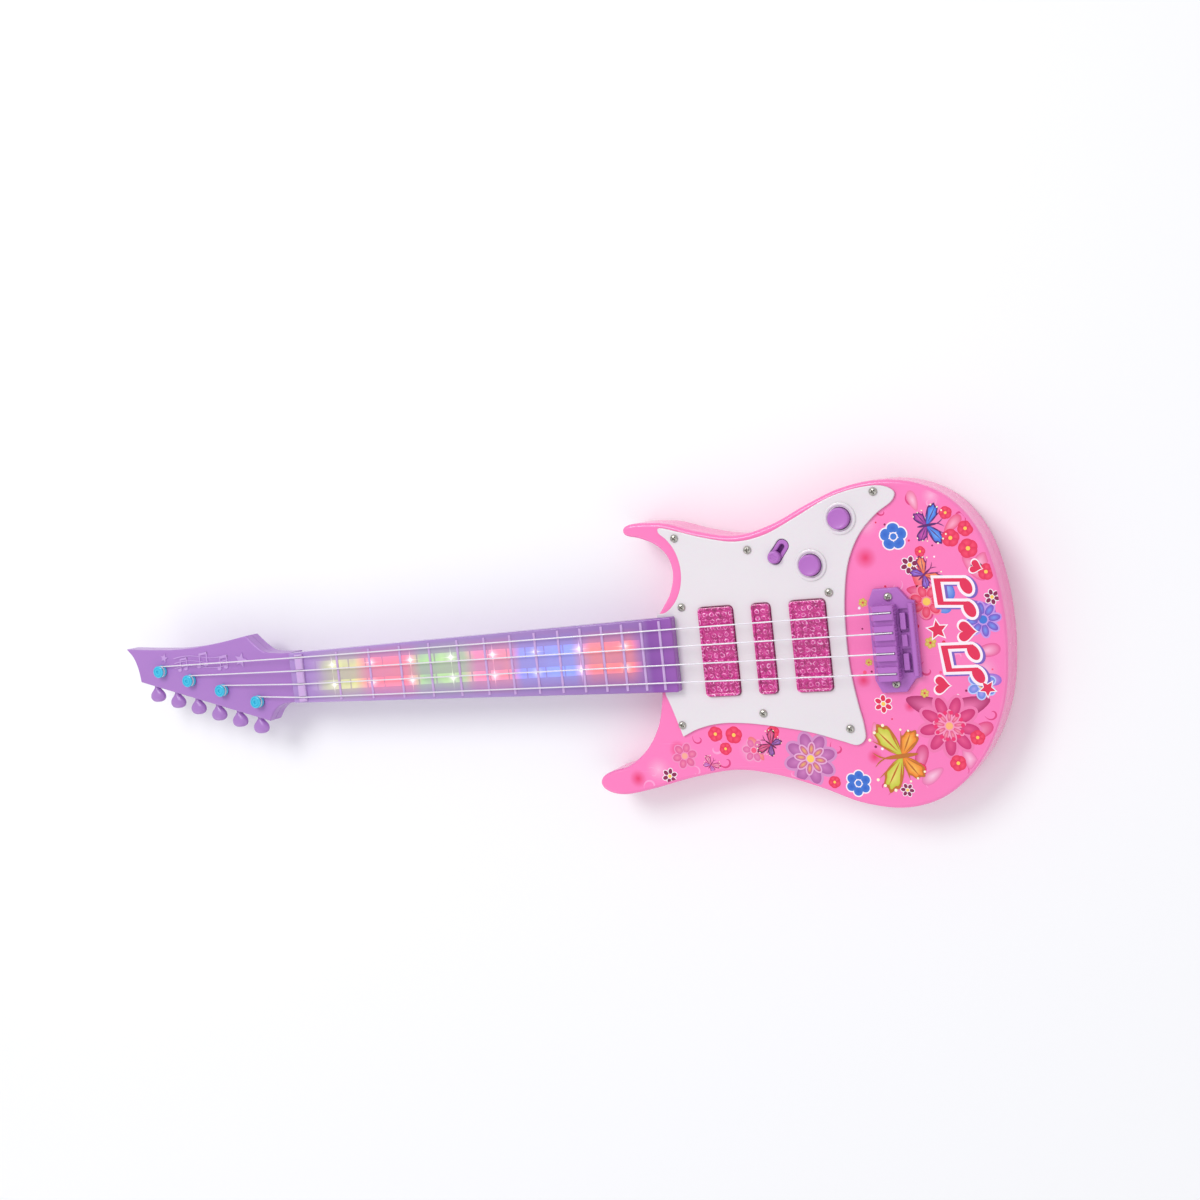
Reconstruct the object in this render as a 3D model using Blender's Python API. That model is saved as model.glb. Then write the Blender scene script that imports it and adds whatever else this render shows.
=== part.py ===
"""Toy electric guitar: a hollow plastic body with a white pickguard, a see-through fretboard lit from
inside, four strings and six tuning keys.

It lies on its back: +X runs from the headstock to the strap end, +Y is the side of the push buttons
and +Z is the front. Every place below is written from the neck's centre line, and the empty called
guitar_origin moves the whole assembly so that the origin is under the middle of its outer box.
All sizes are in metres.
"""

import math

import bmesh
import bpy
from mathutils import Matrix, Vector

# ---------------------------------------------------------------- driving sizes
GAP = 0.0003            # between two pieces that rest on each other
WALL = 0.0025           # body shells
BODY_TOP = 0.030        # front face of the body
BODY_SPLIT = 0.015      # where the front shell meets the back shell
BODY_FILLET = 0.0025
GUARD_THICKNESS = 0.0015
GUARD_BOTTOM = BODY_TOP + GAP
GUARD_TOP = GUARD_BOTTOM + GUARD_THICKNESS
LENS_TOP = 0.0343
FRETBOARD_BOTTOM = GUARD_TOP + GAP
FRETBOARD_TOP = 0.038
NECK_BACK_TOP = FRETBOARD_BOTTOM - GAP
NECK_DEPTH = 0.016      # of the rounded half below the fretboard
HEAD_SPLIT = 0.02785    # the keys' shafts lie in this plane
HEAD_BACK = 0.020
HEAD_TOP = 0.0345

NUT_LEFT, NUT_RIGHT = -0.158, -0.152
FRETBOARD_LEFT, FRETBOARD_RIGHT = -0.1637, 0.112
NECK_END = 0.0968       # where the neck meets the body
NECK_HALF_AT_NUT, NECK_HALF_AT_END = 0.017, 0.0226

SCREW_HEAD_RADIUS, SCREW_SHANK_RADIUS = 0.0025, 0.0013
SCREW_HOLE_RADIUS = 0.0015

# ---------------------------------------------------------------- outlines, seen from the front
# A third entry marks a sharp corner; every other point is passed smoothly.
BODY_OUTLINE = [
    (0.0975, 0.0160), (0.0985, 0.0210), (0.1030, 0.0270), (0.1090, 0.0360), (0.1120, 0.0470),
    (0.1100, 0.0570), (0.1035, 0.0645), (0.0950, 0.0689), (0.0905, 0.0704), (0.0867, 0.0713),
    (0.0839, 0.0727), (0.0829, 0.0750), (0.0838, 0.0773), (0.0866, 0.0786), (0.0905, 0.0791),
    (0.0960, 0.0790), (0.1100, 0.0775), (0.1300, 0.0710), (0.1540, 0.0664), (0.1760, 0.0708),
    (0.1980, 0.0802), (0.2180, 0.0873), (0.2400, 0.0900), (0.2620, 0.0863), (0.2805, 0.0755),
    (0.2945, 0.0560), (0.3025, 0.0260), (0.3040, -0.0080), (0.2985, -0.0420), (0.2838, -0.0707),
    (0.2630, -0.0895), (0.2400, -0.0962), (0.2150, -0.0932), (0.1900, -0.0835), (0.1650, -0.0757),
    (0.1400, -0.0720), (0.1130, -0.0755), (0.0850, -0.0820), (0.0680, -0.0850), (0.0605, -0.0847),
    (0.0552, -0.0831), (0.0516, -0.0806), (0.0502, -0.0773), (0.0514, -0.0740), (0.0550, -0.0714),
    (0.0610, -0.0694), (0.0700, -0.0672), (0.0830, -0.0577), (0.0920, -0.0440), (0.0960, -0.0300),
    (0.0975, -0.0180),
]
GUARD_OUTLINE = [
    (0.1055, 0.0245), (0.1125, 0.0300), (0.1172, 0.0390), (0.1185, 0.0500), (0.1160, 0.0605),
    (0.1115, 0.0675), (0.1068, 0.0722), (0.1070, 0.0748), (0.118, 0.0722), (0.134, 0.0672),
    (0.154, 0.0630), (0.172, 0.0653), (0.192, 0.0737), (0.212, 0.0828), (0.231, 0.0868),
    (0.2445, 0.0862), (0.2503, 0.0822), (0.2488, 0.0778), (0.239, 0.0712), (0.2285, 0.061),
    (0.2205, 0.046), (0.2163, 0.026), (0.215, 0.006), (0.2153, -0.014), (0.2178, -0.034),
    (0.2202, -0.048), (0.2200, -0.0555), (0.2155, -0.0588), (0.207, -0.0565), (0.190, -0.051),
    (0.170, -0.0468), (0.150, -0.0438), (0.133, -0.0433), (0.119, -0.046),
    (0.109, -0.0503, "corner"), (0.1065, -0.042), (0.1030, -0.031), (0.1005, -0.0245, "corner"),
    (0.1005, 0.0245, "corner"),
]
HEAD_OUTLINE = [
    (-0.303, 0.027, "corner"), (-0.2965, 0.0180), (-0.2940, 0.0080),
    (-0.2935, 0.003, "corner"), (-0.188, -0.0285, "corner"), (-0.1825, -0.0215),
    (-0.1755, -0.0176), (-0.164, -0.0168, "corner"), (-0.164, 0.0168, "corner"), (-0.177, 0.0172),
    (-0.1855, 0.0188), (-0.192, 0.0235), (-0.199, 0.0302, "corner"), (-0.218, 0.0274),
    (-0.238, 0.0252), (-0.258, 0.0243), (-0.280, 0.0253),
]
BRIDGE_OUTLINE = [
    (0.2295, 0.022), (0.2330, 0.0295), (0.2470, 0.0295), (0.2525, 0.0225), (0.2560, 0.0215),
    (0.2560, -0.0215), (0.2525, -0.0225), (0.2470, -0.0295), (0.2330, -0.0295), (0.2295, -0.022),
]
BOARD_OUTLINE = [
    (
        0.137, -0.030
    ), (0.226, -0.030), (0.226, 0.079), (0.206, 0.079), (0.186, 0.068), (0.160, 0.050),
    (0.137, 0.030),
]

# ---------------------------------------------------------------- places
PICKUPS = {"neck": (0.138, 0.021), "middle": (0.166, 0.011), "bridge": (0.194, 0.021)}   # x, width
PICKUP_Y, PICKUP_LENGTH = -0.0003, 0.0525
BUTTONS = {"demo_button": (0.218, 0.0705), "rhythm_button": (0.1985, 0.0457)}
BUTTON_RADIUS, BUTTON_TOP, BUTTON_TRAVEL = 0.0062, 0.0362, 0.0015
COLLAR_RADIUS = 0.0093
SWITCH_PLACE, SWITCH_TURN = (0.180, 0.0548), math.radians(52)
SWITCH_LENGTH, SWITCH_WIDTH, SWITCH_TRAVEL = 0.016, 0.008, 0.0072
GUARD_SCREWS = [
    (0.117, 0.068), (0.1615, 0.0574), (0.117, 0.0271), (0.1095, -0.0431), (0.161, -0.0381),
    (0.212, -0.0491), (0.2075, 0.0293), (0.2385, 0.0836),
]
BRIDGE_SCREWS = [(0.2415, 0.0245), (0.2415, -0.0245)]
BODY_SCREWS = [
    (
        0.070, -0.0760
    ), (0.1000, 0.0732), (0.150, -0.061), (0.140, 0.056), (0.268, 0.067), (0.262, -0.070),
]
POSTS = [(-0.273, 0.010), (-0.249, 0.0025), (-0.2225, -0.0055), (-0.194, -0.0145)]
STRING_RADIUS = 0.00045
STRINGS_AT_NUT = [0.0137, 0.0049, -0.0040, -0.0128]
STRINGS_AT_BRIDGE = [0.0163, 0.0050, -0.0065, -0.0179]
STRING_Z_POST, STRING_Z_NUT, STRING_Z_BRIDGE = 0.0371, 0.0401, 0.0406
BRIDGE_STRING_END = 0.2440
KEY_COUNT, KEY_FIRST_X, KEY_PITCH = 6, -0.285, 0.017
FRET_COUNT, FIRST_FRET_GAP, FRET_RATIO = 14, 0.0265, 0.94
BATTERY_X, BATTERY_PITCH, BATTERY_RADIUS, BATTERY_LENGTH = 0.165, 0.0150, 0.0071, 0.0490
BATTERY_Z = 0.0099
DOOR_BOX = (0.131, 0.206, 0.026)            # low x, high x, half width
DOOR_SCREW = (0.2005, 0.0)
SPEAKER_PLACE, SPEAKER_RADIUS = (0.255, 0.0), 0.020


# ---------------------------------------------------------------- outlines and rings
def smooth_outline(anchors, steps):
    """A closed line through the anchors: a centripetal Catmull-Rom curve that stops at sharp corners."""
    places = [Vector(a[:2]) for a in anchors]
    sharp = [len(a) > 2 for a in anchors]
    count = len(places)
    line = []
    for i in range(count):
        j = (i + 1) % count
        before, start, end, after = places[i - 1], places[i], places[j], places[(i + 2) % count]
        chord = end - start
        step, step_before, step_after = (
            math.sqrt(v.length) for v in (chord, start - before, after - end)
        )
        leave, arrive = chord, chord
        if not sharp[i]:
            leave = step * (
                (start - before) / step_before - (end - before) / (step_before + step)
                + chord / step
            )
        if not sharp[j]:
            arrive = step * (
                chord / step - (after - start) / (step + step_after) + (after - end) / step_after
            )
        for k in range(steps):
            t = k / steps
            line.append(
                (2 * t**3 - 3 * t**2 + 1) * start + (t**3 - 2 * t**2 + t) * leave
                + (3 * t**2 - 2 * t**3) * end + (t**3 - t**2) * arrive
            )
    return line


def inset(line, distance):
    """The closed line moved sideways, to its inner side."""
    count = len(line)
    area = sum(line[i - 1].cross(line[i]) for i in range(count))
    side = 1 if area > 0 else -1
    moved = []
    for i in range(count):
        a = (line[i] - line[i - 1]).normalized()
        b = (line[(i + 1) % count] - line[i]).normalized()
        normal = Vector((-a.y - b.y, a.x + b.x)).normalized() * side
        lengthen = 1 / max(0.45, math.sqrt(max(0.0, (1 + a.dot(b)) / 2)))
        moved.append(line[i] + normal * distance * lengthen)
    return moved


def rounded_rectangle(x, y, width, height, radius, steps=3, turn=0.0):
    """Corner arcs joined by straight sides; with radius half the width it is a slot."""
    line = []
    for quarter, (sx, sy) in enumerate([(1, 1), (-1, 1), (-1, -1), (1, -1)]):
        centre = Vector((sx * (width / 2 - radius), sy * (height / 2 - radius)))
        for k in range(steps + 1):
            angle = (quarter + k / steps) * math.pi / 2
            line.append(centre + radius * Vector((math.cos(angle), math.sin(angle))))
    place = Vector((x, y))
    return [place + Matrix.Rotation(turn, 2) @ p for p in line]


def circle(x, y, radius, sides):
    return [
        Vector(
            (
                x + radius * math.cos(2 * math.pi * k / sides),
                y + radius * math.sin(2 * math.pi * k / sides),
            )
        )
        for k in range(sides)
    ]


def at_height(line, z):
    return [Vector((p.x, p.y, z)) for p in line]


def prism(line, low, high, chamfer=0.0):
    """Rings of a straight block on this outline, with an optional chamfer at its top."""
    rings = [at_height(line, low), at_height(line, high - chamfer)]
    if chamfer:
        rings.append(at_height(inset(line, chamfer), high))
    return rings


def box(low, high):
    corners = [
        Vector((low[0], low[1])), Vector((high[0], low[1])), Vector((high[0], high[1])),
        Vector((low[0], high[1])),
    ]
    return prism(corners, low[2], high[2])


def turned(x, y, profile, sides):
    """Rings of a shape turned about Z; the profile is a list of (radius, z)."""
    return [at_height(circle(x, y, radius, sides), z) for radius, z in profile]


def tray(line, open_z, closed_z, wall, floor, fillet, fillet_steps=2):
    """Rings of a hollow shell: inner face, inner wall, rim, outer wall, rounded edge, outer face."""
    up = 1 if closed_z > open_z else -1
    inner = inset(line, wall)
    rings = [
        at_height(inner, closed_z - up * floor), at_height(inner, open_z), at_height(line, open_z)
    ]
    for k in range(fillet_steps + 1):
        angle = k / fillet_steps * math.pi / 2
        rings.append(
            at_height(
                inset(line, fillet * (1 - math.cos(angle))),
                closed_z - up * fillet * (1 - math.sin(angle)),
            )
        )
    return rings


# ---------------------------------------------------------------- objects
for leftover in list(bpy.data.objects):
    bpy.data.objects.remove(leftover)

guitar_origin = bpy.data.objects.new("guitar_origin", None)
bpy.context.scene.collection.objects.link(guitar_origin)


def make_material(name, colour, roughness, metallic=0.0):
    made = bpy.data.materials.new(name)
    made.use_nodes = True
    shader = made.node_tree.nodes["Principled BSDF"]
    shader.inputs["Base Color"].default_value = (*colour, 1.0)
    shader.inputs["Roughness"].default_value = roughness
    shader.inputs["Metallic"].default_value = metallic
    return made


PINK = make_material("pink_plastic", (0.95, 0.22, 0.45), 0.25)
WHITE = make_material("white_plastic", (0.86, 0.84, 0.85), 0.25)
LILAC = make_material("lilac_plastic", (0.42, 0.20, 0.60), 0.35)
LENS = make_material("magenta_lens", (0.75, 0.05, 0.33), 0.15)
FRETBOARD = make_material("violet_fretboard", (0.30, 0.12, 0.55), 0.2)
CYAN = make_material("cyan_plastic", (0.03, 0.60, 0.80), 0.3)
NYLON = make_material("clear_nylon", (0.85, 0.82, 0.85), 0.2)
STEEL = make_material("plated_steel", (0.62, 0.60, 0.55), 0.3, 1.0)
RUBBER = make_material("grey_rubber", (0.20, 0.20, 0.20), 0.8)
BOARD = make_material("green_board", (0.05, 0.25, 0.10), 0.5)
CLEAR = make_material("clear_rod", (0.9, 0.9, 0.9), 0.1)
BLACK = make_material("black_plastic", (0.03, 0.03, 0.03), 0.5)
CELL = make_material("battery_jacket", (0.10, 0.10, 0.12), 0.4)


def loft(name, ring_sets, material=None, origin=(0, 0, 0)):
    """An object whose surface runs through each list of rings and is closed at both ends.
    Its origin is moved to the place given, which is on the joint's axis for a moving piece."""
    mesh = bpy.data.meshes.new(name)
    points, faces = [], []
    for rings in ring_sets:
        count, base = len(rings[0]), len(points)
        for ring in rings:
            points += [p - Vector(origin) for p in ring]
        for r in range(len(rings) - 1):
            for k in range(count):
                n = (k + 1) % count
                low, high = base + r * count, base + (r + 1) * count
                faces.append((low + k, low + n, high + n, high + k))
        last = base + (len(rings) - 1) * count
        faces.append(tuple(range(base + count - 1, base - 1, -1)))
        faces.append(tuple(range(last, last + count)))
    mesh.from_pydata(points, [], faces)
    mesh.update()
    mesh.shade_smooth()
    mesh.set_sharp_from_angle(angle=math.radians(35))
    made = bpy.data.objects.new(name, mesh)
    bpy.context.scene.collection.objects.link(made)
    made.parent = guitar_origin
    made.location = origin
    face_outwards(made)
    if material:
        mesh.materials.append(material)
    return made


def face_outwards(made):
    """Turns every closed body of the mesh so that its faces point out. Twisted quads become triangles,
    because a Boolean needs flat faces."""
    bm = bmesh.new()
    bm.from_mesh(made.data)
    twisted = [
        face for face in bm.faces
        if max(abs(face.normal.dot(v.co - face.verts[0].co)) for v in face.verts) > 1e-6
    ]
    bmesh.ops.triangulate(bm, faces=twisted)
    bmesh.ops.recalc_face_normals(bm, faces=bm.faces)
    bm.to_mesh(made.data)
    bm.free()


def helper(name, ring_sets):
    """A cutter or an added block: wire only, and left out of the render."""
    made = loft(name, ring_sets)
    made.hide_render = True
    made.display_type = "WIRE"
    return made


def combine(target, operation, name, ring_sets):
    """Cuts these shapes from the target, or joins them to it. Shapes of one call don't overlap."""
    modifier = target.modifiers.new(name, "BOOLEAN")
    modifier.operation = operation
    modifier.solver = "EXACT"
    modifier.object = helper(name, ring_sets)


def screw(name, x, y, head_z, length, up=1):
    """A self-tapping screw. Its head's underside is at head_z, and up is 1 where the head faces +Z."""
    profile = [
        (SCREW_HEAD_RADIUS * 0.55, head_z + up * 0.0014), (SCREW_HEAD_RADIUS, head_z + up * 0.0007),
        (SCREW_HEAD_RADIUS, head_z), (SCREW_SHANK_RADIUS, head_z),
        (SCREW_SHANK_RADIUS, head_z - up * (length - 0.001)), (
            SCREW_SHANK_RADIUS * 0.3, head_z - up * length
        ),
    ]
    return loft(name, [turned(x, y, profile, 10)], STEEL)


def holes(places, radius, low, high, sides=10):
    return [turned(x, y, [(radius, low), (radius, high)], sides) for x, y in places]


# ---------------------------------------------------------------- body: two hollow shells
body_line = smooth_outline(BODY_OUTLINE, 2)
front_inside = BODY_TOP - WALL

body_front_shell = loft(
    "body_front_shell", [
        tray(body_line, BODY_SPLIT + GAP / 2, BODY_TOP, WALL, WALL, BODY_FILLET)
    ], PINK
)
front_bosses = holes(GUARD_SCREWS + BRIDGE_SCREWS, 0.0032, 0.022, front_inside + 0.001)
combine(body_front_shell, "UNION", "guard_screw_bosses", front_bosses)
combine(
    body_front_shell, "UNION", "front_body_bosses",
    holes(BODY_SCREWS, 0.0031, BODY_SPLIT + GAP / 2 + 0.0002, front_inside + 0.001),
)
combine(
    body_front_shell, "DIFFERENCE", "front_screw_holes",
    holes(GUARD_SCREWS + BRIDGE_SCREWS, SCREW_HOLE_RADIUS, 0.0215, BODY_TOP + 0.001)
    + holes(BODY_SCREWS, SCREW_HOLE_RADIUS, BODY_SPLIT - 0.001, 0.0225),
)
front_openings = [
    prism(
        rounded_rectangle(x, PICKUP_Y, width + 0.0042, PICKUP_LENGTH + 0.0042, 0.003, 2),
        front_inside - 0.001, BODY_TOP + 0.001,
    )
    for x, width in PICKUPS.values()
]
front_openings += [
    turned(x, y, [(0.0083, front_inside - 0.001), (0.0083, BODY_TOP + 0.001)], 16)
    for x, y in BUTTONS.values()
]
front_openings.append(
    prism(
        rounded_rectangle(
            *SWITCH_PLACE, SWITCH_LENGTH + 0.0004, SWITCH_WIDTH + 0.0004, SWITCH_WIDTH / 2, 3,
            SWITCH_TURN,
        ),
        front_inside - 0.001, BODY_TOP + 0.001,
    )
)
front_openings.append(box((0.085, -0.0145, 0.0170), (0.106, 0.0145, 0.0275 - 0.0002)))
combine(body_front_shell, "DIFFERENCE", "front_openings", front_openings)

# The back shell holds the battery box, the screw tubes and the speaker's grille.
body_back_shell = loft(
    "body_back_shell", [tray(body_line, BODY_SPLIT - GAP / 2, 0.0, WALL, WALL, BODY_FILLET)], PINK
)
door_low, door_high, door_half = DOOR_BOX
combine(
    body_back_shell, "UNION", "battery_frame",
    [
        box(
            (door_low - 0.002, -door_half - 0.0025, 0.001),
            (door_high + 0.002, door_half + 0.0025, 0.0065),
        )
    ],
)
battery_half = 1.5 * BATTERY_PITCH + 0.0005
cavity_low, cavity_high = BATTERY_X - 0.029, BATTERY_X + 0.029
combine(
    body_back_shell, "UNION", "battery_box",
    [
        box(
            (cavity_low - 0.0015, -battery_half - 0.0015, 0.0015),
            (cavity_high + 0.0015, battery_half + 0.0015, 0.0188),
        )
    ],
)
combine(
    body_back_shell, "UNION", "back_screw_tubes",
    holes(BODY_SCREWS, 0.0042, 0.001, BODY_SPLIT - GAP / 2 - 0.0002) + holes(
        [DOOR_SCREW], 0.0038, 0.0055, 0.0140
    ),
)
combine(
    body_back_shell, "DIFFERENCE", "battery_cavity",
    [box((cavity_low, -battery_half, -0.001), (cavity_high, battery_half, 0.0173))],
)
combine(
    body_back_shell, "DIFFERENCE", "door_recess",
    [box((door_low - GAP, -door_half - GAP, -0.001), (door_high + GAP, door_half + GAP, 0.0026))],
)
combine(
    body_back_shell, "DIFFERENCE", "door_screw_seat",
    [turned(*DOOR_SCREW, [(0.0044, 0.001), (0.0044, 0.0053)], 12)],
)
combine(
    body_back_shell, "DIFFERENCE", "back_screw_holes",
    holes(BODY_SCREWS, SCREW_HOLE_RADIUS, -0.001, BODY_SPLIT + 0.001) + holes(
        [DOOR_SCREW], SCREW_HOLE_RADIUS, 0.004, 0.0120
    ),
)
combine(
    body_back_shell, "DIFFERENCE", "back_screw_counterbores",
    holes(BODY_SCREWS, 0.0029, -0.002, 0.009, 12),
)
grille_pitch, grille_slot = 0.0045, 0.0022
grille = []
for row in range(-3, 4):
    reach = math.sqrt(0.0165**2 - (row * grille_pitch) ** 2)
    y = SPEAKER_PLACE[1] + row * grille_pitch
    grille.append(
        prism(
            rounded_rectangle(
                SPEAKER_PLACE[0], y, 2 * reach, grille_slot, grille_slot / 2 - 0.0001, 2
            ),
            -0.001, WALL + 0.001,
        )
    )
combine(body_back_shell, "DIFFERENCE", "speaker_grille", grille)

for i, (x, y) in enumerate(BODY_SCREWS, 1):
    screw(f"body_screw_{i}", x, y, 0.0087, 0.0115, up=-1)

# ---------------------------------------------------------------- battery box contents and door
for i in (-1, 0, 1):
    cell = [
        [Vector((x, i * BATTERY_PITCH + p.x, BATTERY_Z + p.y)) for p in circle(0, 0, radius, 16)]
        for radius, x in [
            (BATTERY_RADIUS, BATTERY_X - BATTERY_LENGTH / 2), (
                BATTERY_RADIUS, BATTERY_X + BATTERY_LENGTH / 2
            ),
            (0.0027, BATTERY_X + BATTERY_LENGTH / 2), (
                0.0027, BATTERY_X + BATTERY_LENGTH / 2 + 0.0012
            ),
        ]
    ]
    loft(f"battery_{i + 2}", [cell], CELL)

spring_plate = loft(
    "battery_spring_contacts", [
        box((cavity_low + GAP, -0.0215, 0.0045), (cavity_low + GAP + 0.0005, 0.0215, 0.0155))
    ], STEEL
)
cones = [
    [
        [Vector((x, i * BATTERY_PITCH + p.x, BATTERY_Z + p.y)) for p in circle(0, 0, radius, 8)]
        for radius, x in [
            (0.0042, cavity_low + GAP + 0.0002), (0.0025, BATTERY_X - BATTERY_LENGTH / 2 - GAP)
        ]
    ]
    for i in (-1, 0, 1)
]
combine(spring_plate, "UNION", "contact_springs", cones)
loft(
    "battery_flat_contacts",
    [box((cavity_high - GAP - 0.0005, -0.0215, 0.0045), (cavity_high - GAP, 0.0215, 0.0155))],
    STEEL,
)

battery_door = loft(
    "battery_door", [box((door_low, -door_half, GAP), (door_high, door_half, 0.0023))], PINK
)
combine(
    battery_door, "UNION", "door_screw_cup",
    [turned(*DOOR_SCREW, [(0.0040, 0.0010), (0.0040, 0.0049)], 12)],
)
combine(
    battery_door, "DIFFERENCE", "door_screw_well",
    [turned(*DOOR_SCREW, [(0.0029, -0.001), (0.0029, 0.0034)], 12)],
)
combine(
    battery_door, "DIFFERENCE", "door_screw_hole",
    [turned(*DOOR_SCREW, [(SCREW_HOLE_RADIUS, 0.003), (SCREW_HOLE_RADIUS, 0.006)], 10)],
)
screw("battery_door_screw", *DOOR_SCREW, 0.0031, 0.0080, up=-1)

# ---------------------------------------------------------------- speaker and main board
loft(
    "speaker",
    [
        turned(
            *SPEAKER_PLACE,
            [
                (SPEAKER_RADIUS, WALL + GAP), (SPEAKER_RADIUS, WALL + GAP + 0.0012),
                (0.0170, 0.0045), (0.0100, 0.0085), (0.0100, 0.0135),
            ],
            20,
        )
    ],
    BLACK,
)
main_board_z, board_top = 0.0200, 0.0216
loft("main_board", [prism([Vector(p) for p in BOARD_OUTLINE], main_board_z, board_top)], BOARD)

# ---------------------------------------------------------------- pickguard with its lenses
guard_line = smooth_outline(GUARD_OUTLINE, 2)
pickguard = loft("pickguard", [prism(guard_line, GUARD_BOTTOM, GUARD_TOP, 0.0004)], WHITE)
combine(
    pickguard, "UNION", "button_collars",
    [
        turned(
            x, y,
            [
                (COLLAR_RADIUS, GUARD_BOTTOM + 0.0005), (COLLAR_RADIUS, GUARD_TOP + 0.0006),
                (COLLAR_RADIUS - 0.0008, GUARD_TOP + 0.0012),
            ],
            24,
        )
        for x, y in BUTTONS.values()
    ],
)
guard_openings = [
    prism(
        rounded_rectangle(x, PICKUP_Y, width + 0.0006, PICKUP_LENGTH + 0.0006, 0.0025),
        GUARD_BOTTOM - 0.001, GUARD_TOP + 0.001,
    )
    for x, width in PICKUPS.values()
]
guard_openings += [
    turned(x, y, [(0.0066, GUARD_BOTTOM - 0.001), (0.0066, GUARD_TOP + 0.003)], 20)
    for x, y in BUTTONS.values()
]
guard_openings.append(
    prism(
        rounded_rectangle(
            *SWITCH_PLACE, SWITCH_LENGTH, SWITCH_WIDTH, SWITCH_WIDTH / 2 - 0.0001, 4, SWITCH_TURN
        ),
        GUARD_BOTTOM - 0.001, GUARD_TOP + 0.001,
    )
)
guard_openings += holes(GUARD_SCREWS, SCREW_HOLE_RADIUS, GUARD_BOTTOM - 0.001, GUARD_TOP + 0.001)
combine(pickguard, "DIFFERENCE", "guard_openings", guard_openings)

for name, (x, width) in PICKUPS.items():
    flange = rounded_rectangle(x, PICKUP_Y, width + 0.0034, PICKUP_LENGTH + 0.0034, 0.0026)
    face = rounded_rectangle(x, PICKUP_Y, width, PICKUP_LENGTH, 0.0022)
    loft(
        f"pickup_lens_{name}",
        [
            [
                at_height(flange, 0.0282), at_height(flange, 0.0300), at_height(face, 0.0300),
                at_height(face, LENS_TOP - 0.0005), at_height(inset(face, 0.0005), LENS_TOP),
            ]
        ],
        LENS,
    )
for i, (x, y) in enumerate(GUARD_SCREWS, 1):
    screw(f"guard_screw_{i}", x, y, GUARD_TOP + 0.0002, 0.0075)

# ---------------------------------------------------------------- push buttons on rubber domes
for name, (x, y) in BUTTONS.items():
    loft(
        name,
        [
            turned(
                x, y,
                [
                    (0.0030, 0.0246), (0.0030, 0.0275), (0.0076, 0.0275), (0.0076, 0.0296),
                    (BUTTON_RADIUS, 0.0296), (BUTTON_RADIUS, BUTTON_TOP - 0.0007),
                    (BUTTON_RADIUS - 0.0007, BUTTON_TOP),
                ],
                20,
            )
        ],
        LILAC, (x, y, BUTTON_TOP),
    )
    loft(
        f"{name}_dome",
        [turned(x, y, [(0.0050, board_top + GAP), (0.0050, 0.0224), (0.0032, 0.0243)], 12)],
        RUBBER,
    )

# ---------------------------------------------------------------- mode switch: base and knob
along = Vector((math.cos(SWITCH_TURN), math.sin(SWITCH_TURN)))
switch_foot = rounded_rectangle(
    *SWITCH_PLACE, SWITCH_LENGTH + 0.001, SWITCH_WIDTH + 0.001, 0.003, 4, SWITCH_TURN
)
switch_face = rounded_rectangle(
    *SWITCH_PLACE, SWITCH_LENGTH - 0.0006, SWITCH_WIDTH - 0.0006, SWITCH_WIDTH / 2 - 0.0004, 4,
    SWITCH_TURN,
)
mode_switch_base = loft(
    "mode_switch_base",
    [
        [
            at_height(switch_foot, board_top + GAP), at_height(switch_foot, 0.0270),
            at_height(switch_face, 0.0270), at_height(switch_face, GUARD_TOP - GAP),
        ]
    ],
    LILAC,
)
slot_length = SWITCH_TRAVEL + 0.0030
combine(
    mode_switch_base, "DIFFERENCE", "switch_slot",
    [
        prism(
            rounded_rectangle(*SWITCH_PLACE, slot_length, 0.0030, 0.00149, 3, SWITCH_TURN), 0.0265,
            GUARD_TOP + 0.001,
        )
    ],
)
knob = Vector(SWITCH_PLACE) - along * (SWITCH_TRAVEL / 2)
loft(
    "mode_switch_knob",
    [
        turned(
            knob.x, knob.y,
            [
                (0.0012, 0.0268), (0.0012, GUARD_TOP), (0.0037, GUARD_TOP), (0.0037, 0.0345),
                (0.0028, 0.0354),
            ],
            16,
        )
    ],
    LILAC, (knob.x, knob.y, GUARD_TOP),
)

# ---------------------------------------------------------------- bridge
saddle_low, saddle_high, saddle_half, saddle_top = 0.2315, 0.2455, 0.0041, 0.0413
bridge_plate_top = 0.0333
bridge = loft(
    "bridge",
    [prism([Vector(p) for p in BRIDGE_OUTLINE], BODY_TOP + GAP, bridge_plate_top, 0.0006)], LILAC,
)
combine(
    bridge, "UNION", "saddle_base",
    [box((saddle_low + 0.0020, -0.0215, 0.032), (saddle_high - 0.0003, 0.0200, 0.0388))],
)
saddle_side = [
    (saddle_low, 0.0325), (saddle_low, 0.0372), (
        saddle_low + 0.0024, saddle_top
    ), (saddle_high, saddle_top), (saddle_high, 0.0325),
]
combine(
    bridge, "UNION", "saddles",
    [
        [
            [Vector((x, string_y + side * saddle_half, z)) for x, z in saddle_side]
            for side in (-1, 1)
        ]
        for string_y in STRINGS_AT_BRIDGE
    ],
)
combine(
    bridge, "UNION", "bridge_rear_wall", [box((0.2526, -0.0205, 0.032), (0.2554, 0.0205, 0.0362))]
)
combine(
    bridge, "DIFFERENCE", "string_grooves",
    [
        box(
            (saddle_low - 0.001, y - 0.00075, 0.0398),
            (BRIDGE_STRING_END + 0.0006, y + 0.00075, saddle_top + 0.001),
        )
        for y in STRINGS_AT_BRIDGE
    ],
)
combine(
    bridge, "DIFFERENCE", "rear_pockets",
    [box((0.2466, low, 0.0318), (0.2518, low + 0.0135, 0.035)) for low in (0.0040, -0.0185)],
)
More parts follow.
